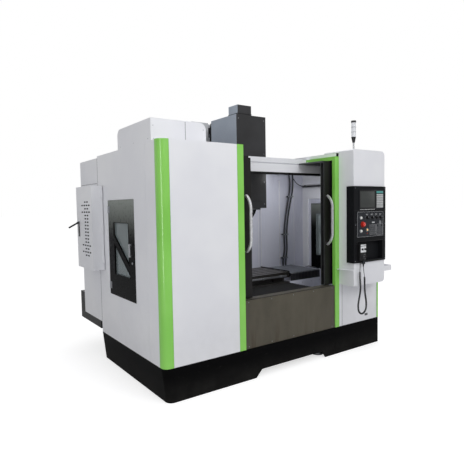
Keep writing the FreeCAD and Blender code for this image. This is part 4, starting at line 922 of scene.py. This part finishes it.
def operator_panel():
    """Screen, keypad, switch legends and keys on the front of the operator box."""
    pane = Mesh().block(2043, 2275, -203.4, -201.5, 1475, 1639, 0.6)
    pane.done("screen_pane", SCREEN, "glass")
    bezel = frame_bars(Mesh(), 2031, 2287, 1463, 1651, 11, -205.0, 1.6)
    bezel.done("screen_bezel", KNOB, "knob")
    keys = key_grid(Mesh(), 2298, 2400, 1474, 1610, 6, 8, 3.2, 3.4)
    keys.done("keypad_keys", KEYCAP, "button_white")
    strip = Mesh().block(2296, 2402, -205.0, -202.0, 1618, 1640, 0.8)
    strip.done("keypad_strip", TEAL, "button_white")
    soft = key_grid(Mesh(), 2046, 2272, 1455, 1462, 10, 1, 6.0, 2.4, BOX_FACE)
    soft.done("soft_keys", KEYCAP, "button_white")
    blocks = key_grid(Mesh(), 2198, 2282, 1215, 1297, 4, 4, 3.2, 3.2)
    key_grid(blocks, 2304, 2390, 1206, 1302, 4, 5, 3.2, 3.2, skip=((0, 4), (3, 4)))
    blocks.done("function_keys", DARK_KEY, "knob")
    lines = Mesh()
    frame_bars(lines, 2191, 2289, 1208, 1304, 1.6, PANEL_FACE, 0.8)
    frame_bars(lines, 2297, 2397, 1199, 1309, 1.6, PANEL_FACE, 0.8)
    frame_bars(lines, 2001, 2405, 1189, 1435, 1.4, PANEL_FACE, 0.7)
    for _, x, z, radius, _ in KNOBS:
        for step in range(11):
            turn = math.radians(-135 + 27 * step)
            (ax, az), (bx, bz) = dial(x, z, radius - 2.2, turn), dial(x, z, radius + 2.2, turn)
            lines.rod((ax, PANEL_FACE - 0.5, az), (bx, PANEL_FACE - 0.5, bz), 0.7, None, 6, 0)
        lines.block(x - 16, x + 16, PANEL_FACE - 0.7, PANEL_FACE + 0.3, z + 31, z + 35, 0.2)
    for x, z in (START_AT, STOP_AT, LENS_AT, KEY_AT):
        lines.ring((x, PANEL_FACE + 0.3, z), FORWARD, 17, 15.4, 1.0)
    lines.block(2226, 2266, PANEL_FACE - 0.9, PANEL_FACE + 0.3, 1322, 1334, 0.3)
    lines.done("panel_legends", LEGEND, "button_white")
    collars = Mesh()
    for x, z in (START_AT, STOP_AT):
        collars.ring((x, PANEL_FACE + 0.3, z), FORWARD, 14.6, 12.6, 3.0)
    x, z = LENS_AT
    collars.ring((x, PANEL_FACE + 0.3, z), FORWARD, 12, 9.2, 3.4)
    collars.done("button_collars", STEEL, "steel")
    lens = Mesh().rod((x, PANEL_FACE + 0.5, z), (x, PANEL_FACE - 5, z), 9, 7.2, 28, 1.2)
    lens.done("running_lamp", AMBER, "lamp")
    lens = Mesh().rod((x, PANEL_FACE + 0.5, z - 35), (x, PANEL_FACE - 4, z - 35), 5, 4, 24, 1.0)
    lens.done("alarm_lamp", RED_LENS, "lamp")
    for body, x, z, _, reach in KNOBS:
        mark = Mesh().block(x - 0.9, x + 0.9, -224.6, -223.7, z + 1, z + reach, 0.2)
        mark.done(body + "_pointer", LEGEND, "button_white", body)
        skirt = Mesh()
        for step in range(24):
            cx, cz = dial(x, z, reach + 0.4, 2 * math.pi * step / 24)
            skirt.rod((cx, -209.6, cz), (cx, -204.6, cz), 1.0, None, 8, 0)
        skirt.done(body + "_grip_ribs", KNOB, "knob", body)
    middle, height = E_STOP
    ring = Mesh().ring((middle, -221.2, height), FORWARD, 20.0, 17.4, 1.0)
    for step in range(3):
        turn = 2 * math.pi * step / 3
        x, z = dial(middle, height, 11, turn)
        dx, dz = math.cos(turn) * 5, -math.sin(turn) * 5
        ring.rod((x - dx, -228.2, z - dz), (x + dx, -228.2, z + dz), 1.1, 0.4, 8, 0)
    ring.done("e_stop_arrows", BUTTON, "button_white", "e_stop")
    screws = Mesh().screws(grid((1975, 2434), (BOX_FACE,), (955, 1310, 1667)), FORWARD, 4.2, 2.0)
    screws.done("operator_box_screws", ZINC, "steel")
    seams = Mesh()
    seams.block(1962, 2448, BOX_FACE - 0.8, BOX_FACE + 1, 1446, 1450, 0.4)
    frame_bars(seams, 1998, 2406, 949, 1148, 5, BOX_FACE, 1.8)
    seams.done("operator_box_trims", KNOB, "knob")
    card = Mesh().block(2106, 2132, -146.2, -145.5, 985, 1004, 0.2)
    card.done("pocket_tag", BUTTON, "button_white")


def pendant_details():
    """The pendant's silver face, dial marks, dial rim with its hub, dots and grip."""
    front = -232.0
    face = Mesh().block(2015, 2095, front - 0.9, front + 0.5, 1041, 1100, 3.0, 3)
    face.block(2015, 2095, front - 0.9, front + 0.5, 1106, 1118, 2.0, 3)
    face.done("pendant_face", PENDANT, "pendant")
    marks = Mesh()
    for step in range(40):
        turn = 2 * math.pi * step / 40
        long = 3.0 if step % 10 == 0 else 1.6
        (ax, az), (bx, bz) = dial(*DIAL, 24 - long, turn), dial(*DIAL, 24, turn)
        marks.rod((ax, -241.2, az), (bx, -241.2, bz), 0.45, None, 6, 0)
    marks.done("pendant_dial_marks", LEGEND, "button_white", "pendant_wheel")
    rim = Mesh().ring((DIAL[0], -240.6, DIAL[1]), FORWARD, 27.4, 25.6, -6.0)
    rim.rod((DIAL[0], -240.0, DIAL[1]), (DIAL[0], -243.0, DIAL[1]), 5, 4.2)
    rim.done("pendant_dial_rim", STEEL, "steel", "pendant_wheel")
    ticks = Mesh()
    for x in (2036, 2077):
        for step in range(5):
            cx, cz = dial(x, 1072, 14, math.radians(-60 + 30 * step))
            ticks.rod((cx, front - 1.5, cz), (cx, front - 0.5, cz), 0.9, None, 8, 0)
    ticks.done("pendant_dots", KNOB, "knob")
    guard = Mesh()
    for z in (1020, 1012, 1004):
        guard.block(2012.5 - 1.4, 2016, -226, -170, z, z + 3.4, 1.0)
        guard.block(2094, 2097.5 + 1.4, -226, -170, z, z + 3.4, 1.0)
    guard.done("pendant_grip", RUBBER, "pendant")


# ---------------------------------------------------------------- enclosure details

def lamp_details():
    """Rings between the signal lamp's lenses and screws round its foot."""
    rings = Mesh()
    for z in (2216, 2268, 2319, 2368):
        rings.ring((*LAMP_AXIS, z), UPWARD, 25.0, 22.0, 3.0)
    rings.ring((*LAMP_AXIS, 2043.5), UPWARD, 31.0, 9.2, 4.0)
    rings.done("lamp_rings", KNOB, "lamp")
    screws = Mesh()
    for turn in (0.5, 2.6, 4.7):
        x, y = LAMP_AXIS[0] + 27.0 * math.cos(turn), LAMP_AXIS[1] + 27.0 * math.sin(turn)
        screws.screw_head(x, y, 2047.4, UPWARD, 2.4, 1.2)
    screws.done("lamp_foot_screws", ZINC, "steel")


def table_details():
    """The stop rail with its dogs in front, and the rubber wipers at the ends."""
    x0, x1, y0, y1, z0, z1 = 850, 1750, 502, 982, 742, 800
    dogs = Mesh()
    dogs.block(x0 + 40, x1 - 40, y0 - 9, y0 + 1, z0 + 10, z0 + 30, 1.5)
    for x in (x0 + 120, 1210, 1390, x1 - 120):
        dogs.block(x - 16, x + 16, y0 - 15, y0 - 8, z0 + 8, z0 + 33, 1.5)
        dogs.screw_head(x, y0 - 15, z0 + 20, FORWARD, 4.0, 2.0)
    dogs.done("table_stop_rail", ZINC, "steel", "table")
    trough = Mesh()
    for x in (x1 + 1, x0 - 9):
        trough.block(x, x + 8, y0 + 2, y1 - 2, z0 + 12, z1 - 34, 1.5)
    trough.block(x1 + 0.5, x1 + 9, y0 - 2, y1 + 2, z1 - 40, z1 + 9, 1.5)
    trough.done("table_wipers", RUBBER, "cover_dark", "table")


def saddle_details():
    """Lips on the saddle's outer ends and a row of screws along its front."""
    lips = Mesh().blocks([(x, x + 16, 482, 984, 784.5, 789.5) for x in (470, 2206)], 1.0)
    lips.done("saddle_end_caps", INNER, "casting", "saddle")
    row = (500, 640, 780, 900, 1800, 1930, 2060, 2190)
    screws = Mesh().screws(grid(row, (480,), (670,)), FORWARD, 5.0, 2.6)
    screws.done("saddle_screws", ZINC, "steel", "saddle")


def head_details():
    """Cover screws and seams, the spindle's ring, the coolant jets and the motor's trims."""
    heights = (1530, 1760, 2050, 2390)
    screws = Mesh().screws(grid((1158,), (640, 1030), heights), LEFTWARD, 5.5)
    screws.screws(grid((1534,), (640, 1030), heights), RIGHTWARD, 5.5)
    screws.screws(grid((1184, 1508), (605,), heights), FORWARD, 5.0, 2.2)
    screws.done("head_cover_screws", ZINC, "steel", "head")
    seams = Mesh().blocks([(x, x + 1.2, 607, 1063, 1884, 1887) for x in (1156.6, 1534.2)], 0.3)
    seams.block(1160, 1532, 603.8, 605.3, 1884, 1887, 0.3)
    seams.block(1220, 1472, 603.0, 605.2, 1560, 1564, 0.5)
    seams.done("head_cover_seams", KNOB, "cover_dark", "head")
    ring = Mesh()
    ring.ring((SPINDLE_X, SPINDLE_Y, 1486), DOWNWARD, 124, 101, 8, 64)
    ring.ring((SPINDLE_X, SPINDLE_Y, 1450), DOWNWARD, 88, 66, 9, 56)
    for step in range(8):
        turn = 2 * math.pi * (step + 0.5) / 8
        x, y = SPINDLE_X + 84 * math.cos(turn), SPINDLE_Y + 84 * math.sin(turn)
        ring.screw_head(x, y, 1442, DOWNWARD, 5.0, 3.4)
    ring.done("spindle_seal_ring", ZINC, "steel", "head")
    jets = Mesh()
    for x, y, lean in ((1410, 640, 6), (1436, 700, 10), (1256, 640, -8), (1300, 620, -4)):
        steps = [(x, y, 1490), (x + lean * 0.4, y + 4, 1462), (x - lean * 0.2, y + 14, 1436),
                 (x - lean, y + 28, 1412)]
        jets.tube(steps, 8.0, 16)
        for point in steps[1:]:
            jets.ring((point[0], point[1], point[2] - 3), UPWARD, 10.5, 6.0, 6.0, 24)
        jets.rod(steps[-1], (x - lean * 1.5, y + 38, 1390), 6.5, 3.2, 20)
    jets.done("coolant_jets", KNOB, "knob", "head")
    block = Mesh().block(1236, 1456, 608, 632, 1470, 1489, 2.0)
    for x, y, top, foot in ((1410, 640, 1489, 1474), (1436, 700, 1489, 1474), (1256, 640, 1489, 1474),
                            (1300, 620, 1469, 1460)):
        block.rod((x, y, top), (x, y, foot), 13, None, 6)
    block.done("coolant_block", STEEL, "steel", "head")
    motor = Mesh().blocks([(1177.5, 1358.5, 609.5, 774.5, z, z + 7) for z in range(2150, 2440, 26)], 1.5)
    motor.done("spindle_motor_bands", MOTOR, "motor_black", "head")
    cap = Mesh().blocks([(x, x + 8, 622, 762, 2522.5, 2526.5) for x in range(1194, 1347, 17)], 1.0)
    cap.done("spindle_motor_grille", KNOB, "motor_black", "head")
    plug = Mesh().rod((1357, 700, 2470), (1388, 700, 2470), 17, 15, 24, 1.5)
    plug.rod((1384, 700, 2470), (1400, 700, 2470), 11, 9, 24, 1.0)
    plug.done("spindle_motor_plug", ZINC, "steel", "head")


def changer_details():
    """Tool pots' rims, tool shanks and bolts on the changer."""
    rims = Mesh()
    shanks = Mesh()
    for index in range(POTS):
        angle = 2 * math.pi * (index + 0.5) / POTS
        y, z = SPINDLE_Y + POT_CIRCLE * math.sin(angle), MAGAZINE_Z + POT_CIRCLE * math.cos(angle)
        rims.ring((616, y, z), RIGHTWARD, 35.5, 23.5, 6)
        rims.ring((562, y, z), RIGHTWARD, 35.0, 31.0, 4)
        if index % 3 != 1:
            shanks.rod((518, y, z), (500, y, z), 31, 31, 28, 1.5)
            shanks.rod((501, y, z), (470, y, z), 21, 19, 24, 1.0)
            shanks.rod((471, y, z), (470 - 20 - (index % 5) * 9, y, z), 7 + index % 3 * 2, None, 20, 0.8)
    rims.done("tool_pot_rims", KNOB, "knob", "magazine_disc")
    shanks.done("stored_tools", STEEL, "steel", "magazine_disc")
    bolts = Mesh()
    for step in range(6):
        turn = 2 * math.pi * step / 6
        y, z = SPINDLE_Y + 54 * math.cos(turn), MAGAZINE_Z + 54 * math.sin(turn)
        bolts.screw_head(684, y, z, RIGHTWARD, 6.0, 4.0)
    bolts.screws(grid((926,), (700, 760, 820, 880), (1500, 1770)), LEFTWARD, 6.0, 4.0)
    bolts.done("changer_bolts", STEEL, "steel")
    fingers = Mesh()
    for side in (-1, 1):
        y = SPINDLE_Y + side * 330
        fingers.ring((1016, y - side * 12, 1372), UPWARD, 12, 7, 6, 24)
        for reach in (230, 120):
            fingers.screw_head(1016, SPINDLE_Y + side * reach, 1372, UPWARD, 8, 4)
    fingers.done("arm_bolts", STEEL, "steel", "tool_change_arm")


def door_details():
    """Gaskets round the panes, rollers in the beam, handle bolts and the seals where the leaves meet."""
    for body, edge, side in (("left_door", 905, -1), ("right_door", 1822, 1)):
        x0, x1 = sorted((edge + side * 125, edge + side * 550))
        gasket = Mesh()
        for y0, y1 in ((61.5, 80.5), (90.0, 105.0)):
            for z in (794, 1834):
                gasket.block(x0 - 2, x1 + 2, y0, y1, z, z + 8, 1.5)
            for x in (x0 - 2, x1 - 6):
                gasket.block(x, x + 8, y0, y1, 800, 1836, 1.5)
        gasket.done(body + "_gasket", RUBBER, "door_dark", body)
        rollers = Mesh()
        for x in (edge + side * 90, edge + side * 540):
            rollers.rod((x, 372, 1944), (x, 372, 1957), 13, None, 28, 1.0)
            rollers.rod((x, 372, 1957), (x, 372, 1963), 7, None, 6, 0.6)
        rollers.done(body + "_rollers", STEEL, "steel", body)
        foot = edge + side * 52
        bolts = Mesh().screws(grid((foot - 18, foot + 18), (60,), (1116, 1601)), FORWARD, 4.5, 2.2)
        bolts.done(body + "_handle_bolts", ZINC, "steel", body)
        lip = Mesh()
        x = edge - side * 0.3
        a, b = sorted((x, x + side * 2.3))
        lip.block(a, b, 66, 102, 712, 1924, 1.0)
        lip.done(body + "_meeting_seal", RUBBER, "door_dark", body)


def side_door_details():
    """Window trims, hinges and latches on both side doors."""
    for body, y0, y1, face, out in (("left_side_door", 493, 1090, -4.0, -1),
                                    ("right_side_door", 418, 1015, 2604.0, 1)):
        trims = Mesh()
        upper = [(y0 + 120, 1382), (y1 - 130, 1382), (y1 - 130, 1266), (y0 + 120, 1010)]
        lower = [(y0 + 102, 905), (y1 - 138, 905), (y1 - 138, 1190), (y0 + 102, 925)]
        for outline in (upper, lower):
            for (ya, za), (yb, zb) in zip(outline, outline[1:] + outline[:1]):
                trims.rod((face + out * 0.6, ya, za), (face + out * 0.6, yb, zb), 2.6, None, 10, 0)
        trims.done(body + "_window_trim", RUBBER, "door_dark", body)
        hinges = Mesh()
        for z in (790, 1500):
            hinges.rod((face, y1 - 5, z - 34), (face, y1 - 5, z + 34), 6.0, None, 20, 1.0)
            a, b = sorted((face - out * 1.0, face + out * 2.2))
            hinges.block(a, b, y1 - 48, y1 - 8, z - 32, z + 32, 0.8)
            hinges.screws(grid((face + out * 2.2,), (y1 - 30,), (z - 18, z + 18)), (out, 0, 0), 3.6, 1.6)
        hinges.done(body + "_hinges", ZINC, "steel", body)
        latch = Mesh()
        latch.rod((face - out, y0 + 52, 1040), (face + out * 3, y0 + 52, 1040), 11, 10, 28, 0.8)
        latch.block(*sorted((face + out * 2.6, face + out * 4.0)), y0 + 51, y0 + 53, 1034, 1046, 0.2)
        latch.done(body + "_latch", ZINC, "steel", body)


def cabinet_details():
    """The louvred door's near-black liner of painted shade, hinges and lock; the rear case's seams, panels,
    louvres and bolts.
    """
    liner = Mesh().block(-111.0, -109.5, 1262, 1562, 1020, 1600, 0.4)
    liner.done("vent_liner", LINER, "cover_dark", "cabinet_door")
    hinge = Mesh()
    for z in (1010, 1324, 1640):
        hinge.rod((-10, 1222, z - 40), (-10, 1222, z + 40), 5.5, None, 20, 0.8)
        hinge.block(-30, -8, 1223.2, 1225.8, z - 34, z + 34, 0.5)
    hinge.done("cabinet_door_hinges", WHITE, "white", "cabinet_door")
    lock = Mesh().rod((-121, 1634, 1250), (-124, 1634, 1250), 7, 6.4, 24, 0.6)
    lock.screws(grid((-121,), (1634,), (1238, 1378)), LEFTWARD, 4.0, 1.6)
    lock.done("cabinet_lock", ZINC, "steel", "cabinet_door")
    seams = Mesh().blocks([(-1.2, 1.0, 1380, 1900, z, z + 3) for z in (890, 1760)], 0.4)
    seams.blocks([(x, x + 3, 1912, 1914.2, 400, 1990) for x in (30, 2560)], 0.4)
    seams.blocks([(x, x + 4, 1912, 1914.4, 400, 1990) for x in (880, 1720)], 0.4)
    seams.done("rear_case_seams", RUBBER, "white")
    panels = Mesh().blocks([(x0, x1, 1912.5, 1917.5, 640, 1950) for x0, x1 in REAR_PANELS], 2.5)
    panels.done("rear_access_panels", WHITE, "white")
    grilles = Mesh()
    for x in (200, 1900):
        for z in range(1500, 1836, 24):
            profile = [(x, 1917, z), (x, 1924, z - 5), (x, 1924, z - 8), (x, 1917, z - 12)]
            grilles.push(profile, (500, 0, 0))
    grilles.done("rear_louvres", WHITE, "white")
    bolts = Mesh()
    for x0, x1 in REAR_PANELS:
        columns = (x0 + 20, (x0 + x1) / 2, x1 - 20)
        bolts.screws(grid(columns, (1917.5,), (660, 1295, 1930)), BACKWARD, 5.5)
    bolts.done("rear_panel_bolts", ZINC, "steel")


def enclosure_details():
    """A dark strip under the beam, seals, seams, screws, cover strips, the blank plate and the foot nuts of
    the fixed sheet metal.
    """
    # A dark rubber strip along the beam's bottom; the other two blocks are seals.
    seals = Mesh().block(8, 2592, 390.0, 396, 1822, 1847, 1.2)
    seals.blocks(((790, 1900, 10, 14, 699, 703), (1912, 1968, 34, 38, 280, 1946)), 1.0)
    seals.done("beam_seal", RUBBER, "skirt_black")
    seams = Mesh().blocks(((2012, 2015, -0.9, 0.8, 276, 700), (300, 303, 126.0, 127.5, 2030, 2190)), 0.3)
    seams.block(-0.9, 0.6, 1363, 1366.5, 378, 2008, 0.4)
    seams.done("panel_seams", KNOB, "white")
    screws = Mesh().screws(grid((20, 470), (127,), (2040, 2140)), FORWARD, 4.0, 1.8)
    screws.screws(grid((0,), (180, 460, 740), (2044,)), LEFTWARD, 4.0, 1.8)
    screws.screws(grid((820, 1080, 1346, 1610, 1870), (6,), (292, 680)), FORWARD, 4.2, 1.8)
    screws.done("sheet_screws", ZINC, "steel")
    closing = Mesh().blocks(((1970.5, 1973.5, 34, 392, 1986, 2022.5), (1974, 2190, 1.5, 4, 1990, 2022),
                             (1970.5, 1973.5, 392, 1146, 1992, 2022.5)), 0.6)
    closing.done("column_side_cover", WHITE, "white")
    plate = Mesh().block(2372, 2420, -1.0, 0.5, 322, 346, 0.4)
    plate.done("rating_plate_blank", DARK_KEY, "knob")
    nuts = Mesh()
    for x, y in ((906, 130), (1786, 130), (906, 960), (1786, 960), (960, 1770), (1732, 1770)):
        nuts.rod((x, y, 22.5), (x, y, 36), 27, None, 6, 1.5)
        nuts.ring((x, y, 20.5), UPWARD, 40, 17, 4)
    nuts.done("foot_nuts", ZINC, "steel")


def interior_details():
    """The right side opening's frame, the wall's ribs, the work light, and the hoses' screws and unions."""
    inner = Mesh().blocks(((2571, 2582.5, 985, 1042, 680, 1613), (2571, 2582.5, 392, 985, 1530, 1613)), 1.0)
    inner.done("side_opening_frame", INNER, "white")
    ribs = Mesh()
    for x, y in ((1888, 1133), (2176, 1133), (2202, 1149), (1860, 1149), (2440, 1149)):
        ribs.rod((x, y, 706), (x, y, 1817), 3.2, None, 12, 0.4)
    ribs.done("wall_fold_ribs", WHITE, "white")
    light = Mesh().block(1960, 2260, 1096, 1132, 1904, 1946, 3.0)
    light.done("work_light_case", KEYCAP, "white")
    tube = Mesh().rod((1975, 1094, 1925), (2245, 1094, 1925), 8, None, 24, 1.0)
    tube.done("work_light_tube", BUTTON, "lamp")
    brackets = Mesh()
    for height, left, right in ((1620, 2326, 2369), (1150, 2242, 2283), (860, 2231, 2274)):
        brackets.screws(grid((left - 17, right + 17), (1104,), (height,)), FORWARD, 4.2)
    brackets.done("hose_clip_screws", ZINC, "steel")
    unions = Mesh()
    for x in (2222, 2266):
        unions.rod((x, 1118, 728), (x, 1118, 742), 16, None, 6, 1.0)
        unions.ring((x, 1118, 742), UPWARD, 14, 10.5, 9, 28)
    unions.done("hose_unions", STEEL, "steel")


def motor_details():
    """Connectors and flange bolts on the axis motors."""
    fittings = Mesh()
    fittings.rod((SPINDLE_X + 30, 120, 658), (SPINDLE_X + 30, 120, 676), 12, 10.5, 24, 1.0)
    fittings.screws(grid((SPINDLE_X - 58, SPINDLE_X + 58), (1198, 1314), (2304,)), UPWARD, 5, 3)
    fittings.rod((SPINDLE_X + 69, 1256, 2380), (SPINDLE_X + 90, 1256, 2380), 14, 12, 24, 1.2)
    fittings.done("axis_motor_fittings", ZINC, "steel")
    plug = Mesh().rod((2290, 742, 779), (2290, 742, 798), 12, 10.5, 24, 1.0)
    plug.done("x_motor_plug", ZINC, "steel", "saddle")


# ---------------------------------------------------------------- studio

CAMERA_PLACE = (-1485.6, -3004.7, 1515.4)
CAMERA_YAW = 0.6183
CAMERA_PITCH = 0.0586
CAMERA_ROLL = -0.0172
LENS = 34.46
FLOOR_HALF = 300.0
FLOOR_LIFT = 0.65
DIM_SIDE = 0.5
BRIGHT_YAW = 0.8


def studio_camera():
    """The camera at head height off the machine's left front corner, turned by yaw, pitch and roll."""
    sy, cy = math.sin(CAMERA_YAW), math.cos(CAMERA_YAW)
    sp, cp = math.sin(CAMERA_PITCH), math.cos(CAMERA_PITCH)
    ahead = Vector((sy * cp, cy * cp, -sp))
    level = Vector((cy, -sy, 0.0))
    upright = level.cross(ahead)
    right = level * math.cos(CAMERA_ROLL) + upright * math.sin(CAMERA_ROLL)
    up = upright * math.cos(CAMERA_ROLL) - level * math.sin(CAMERA_ROLL)
    data = bpy.data.cameras.new("studio camera")
    data.lens = LENS
    data.sensor_width = 36.0
    data.clip_end = 100.0
    camera = in_scene("studio_camera", data)
    place = Matrix((right, up, -ahead)).transposed().to_4x4()
    place.translation = at(*CAMERA_PLACE)
    camera.matrix_world = place
    bpy.context.scene.camera = camera


def area_light(name, place, target, size, power):
    data = bpy.data.lights.new(name, "AREA")
    data.shape = "RECTANGLE"
    data.size, data.size_y = size
    data.energy = power
    lamp = in_scene(name, data)
    lamp.location = at(*place)
    lamp.visible_camera = False
    aim = at(*target) - lamp.location
    lamp.rotation_euler = aim.to_track_quat("-Z", "Y").to_euler()


def studio():
    """A white floor and sky; the sky lights the back and right sides more than the front and left."""
    world = bpy.data.worlds.new("studio")
    world.use_nodes = True
    tree = world.node_tree
    direction = Val(tree, None).node("ShaderNodeTexCoord")
    across, away, _ = direction.parts()
    far_side = across * math.sin(BRIGHT_YAW) + away * math.cos(BRIGHT_YAW)
    glow = far_side.ramp(0.1, 0.76, DIM_SIDE, 1.0)
    backdrop = direction.node("ShaderNodeLightPath")
    strength = backdrop + (1 - backdrop) * glow
    tree.links.new(strength.socket, tree.nodes["Background"].inputs["Strength"])
    tree.nodes["Background"].inputs["Color"].default_value = (1.0, 1.0, 1.0, 1.0)
    bpy.context.scene.world = world
    bpy.context.scene.view_settings.view_transform = "Standard"
    mesh = bmesh.new()
    bmesh.ops.create_grid(mesh, x_segments=1, y_segments=1, size=FLOOR_HALF)
    white = paint("studio floor", lambda s: Finish(
        s.noise(0.8, 2.0).colours(rgb(200, 200, 201), rgb(196, 196, 197)), 0.9),
        {"Emission Strength": FLOOR_LIFT, "Specular IOR Level": 0.1})
    floor_tree = white.node_tree
    seen = Val(floor_tree, None).node("ShaderNodeLightPath")
    floor_tree.links.new(seen.socket, floor_tree.nodes["Principled BSDF"].inputs["Emission Color"])
    as_piece("studio_floor", mesh, white)
    area_light("key", (1500, -5200, 4600), (1300, 200, 1100), (4.0, 3.0), 140)
    area_light("streak", (-4300, -3300, 1700), (0, 0, 1300), (0.4, 4.5), 80)
    area_light("top", (1300, 500, 5200), (1300, 700, 800), (3.0, 3.0), 70)
    area_light("inside", (2000, 560, 1830), (1900, 1150, 1050), (0.8, 0.15), 2.4)


studio_camera()
studio()
pendant_cord()
limp_cable()
dress_nodes()
bellows()
operator_panel()
pendant_details()
lamp_details()
table_details()
saddle_details()
head_details()
changer_details()
door_details()
side_door_details()
cabinet_details()
enclosure_details()
interior_details()
motor_details()
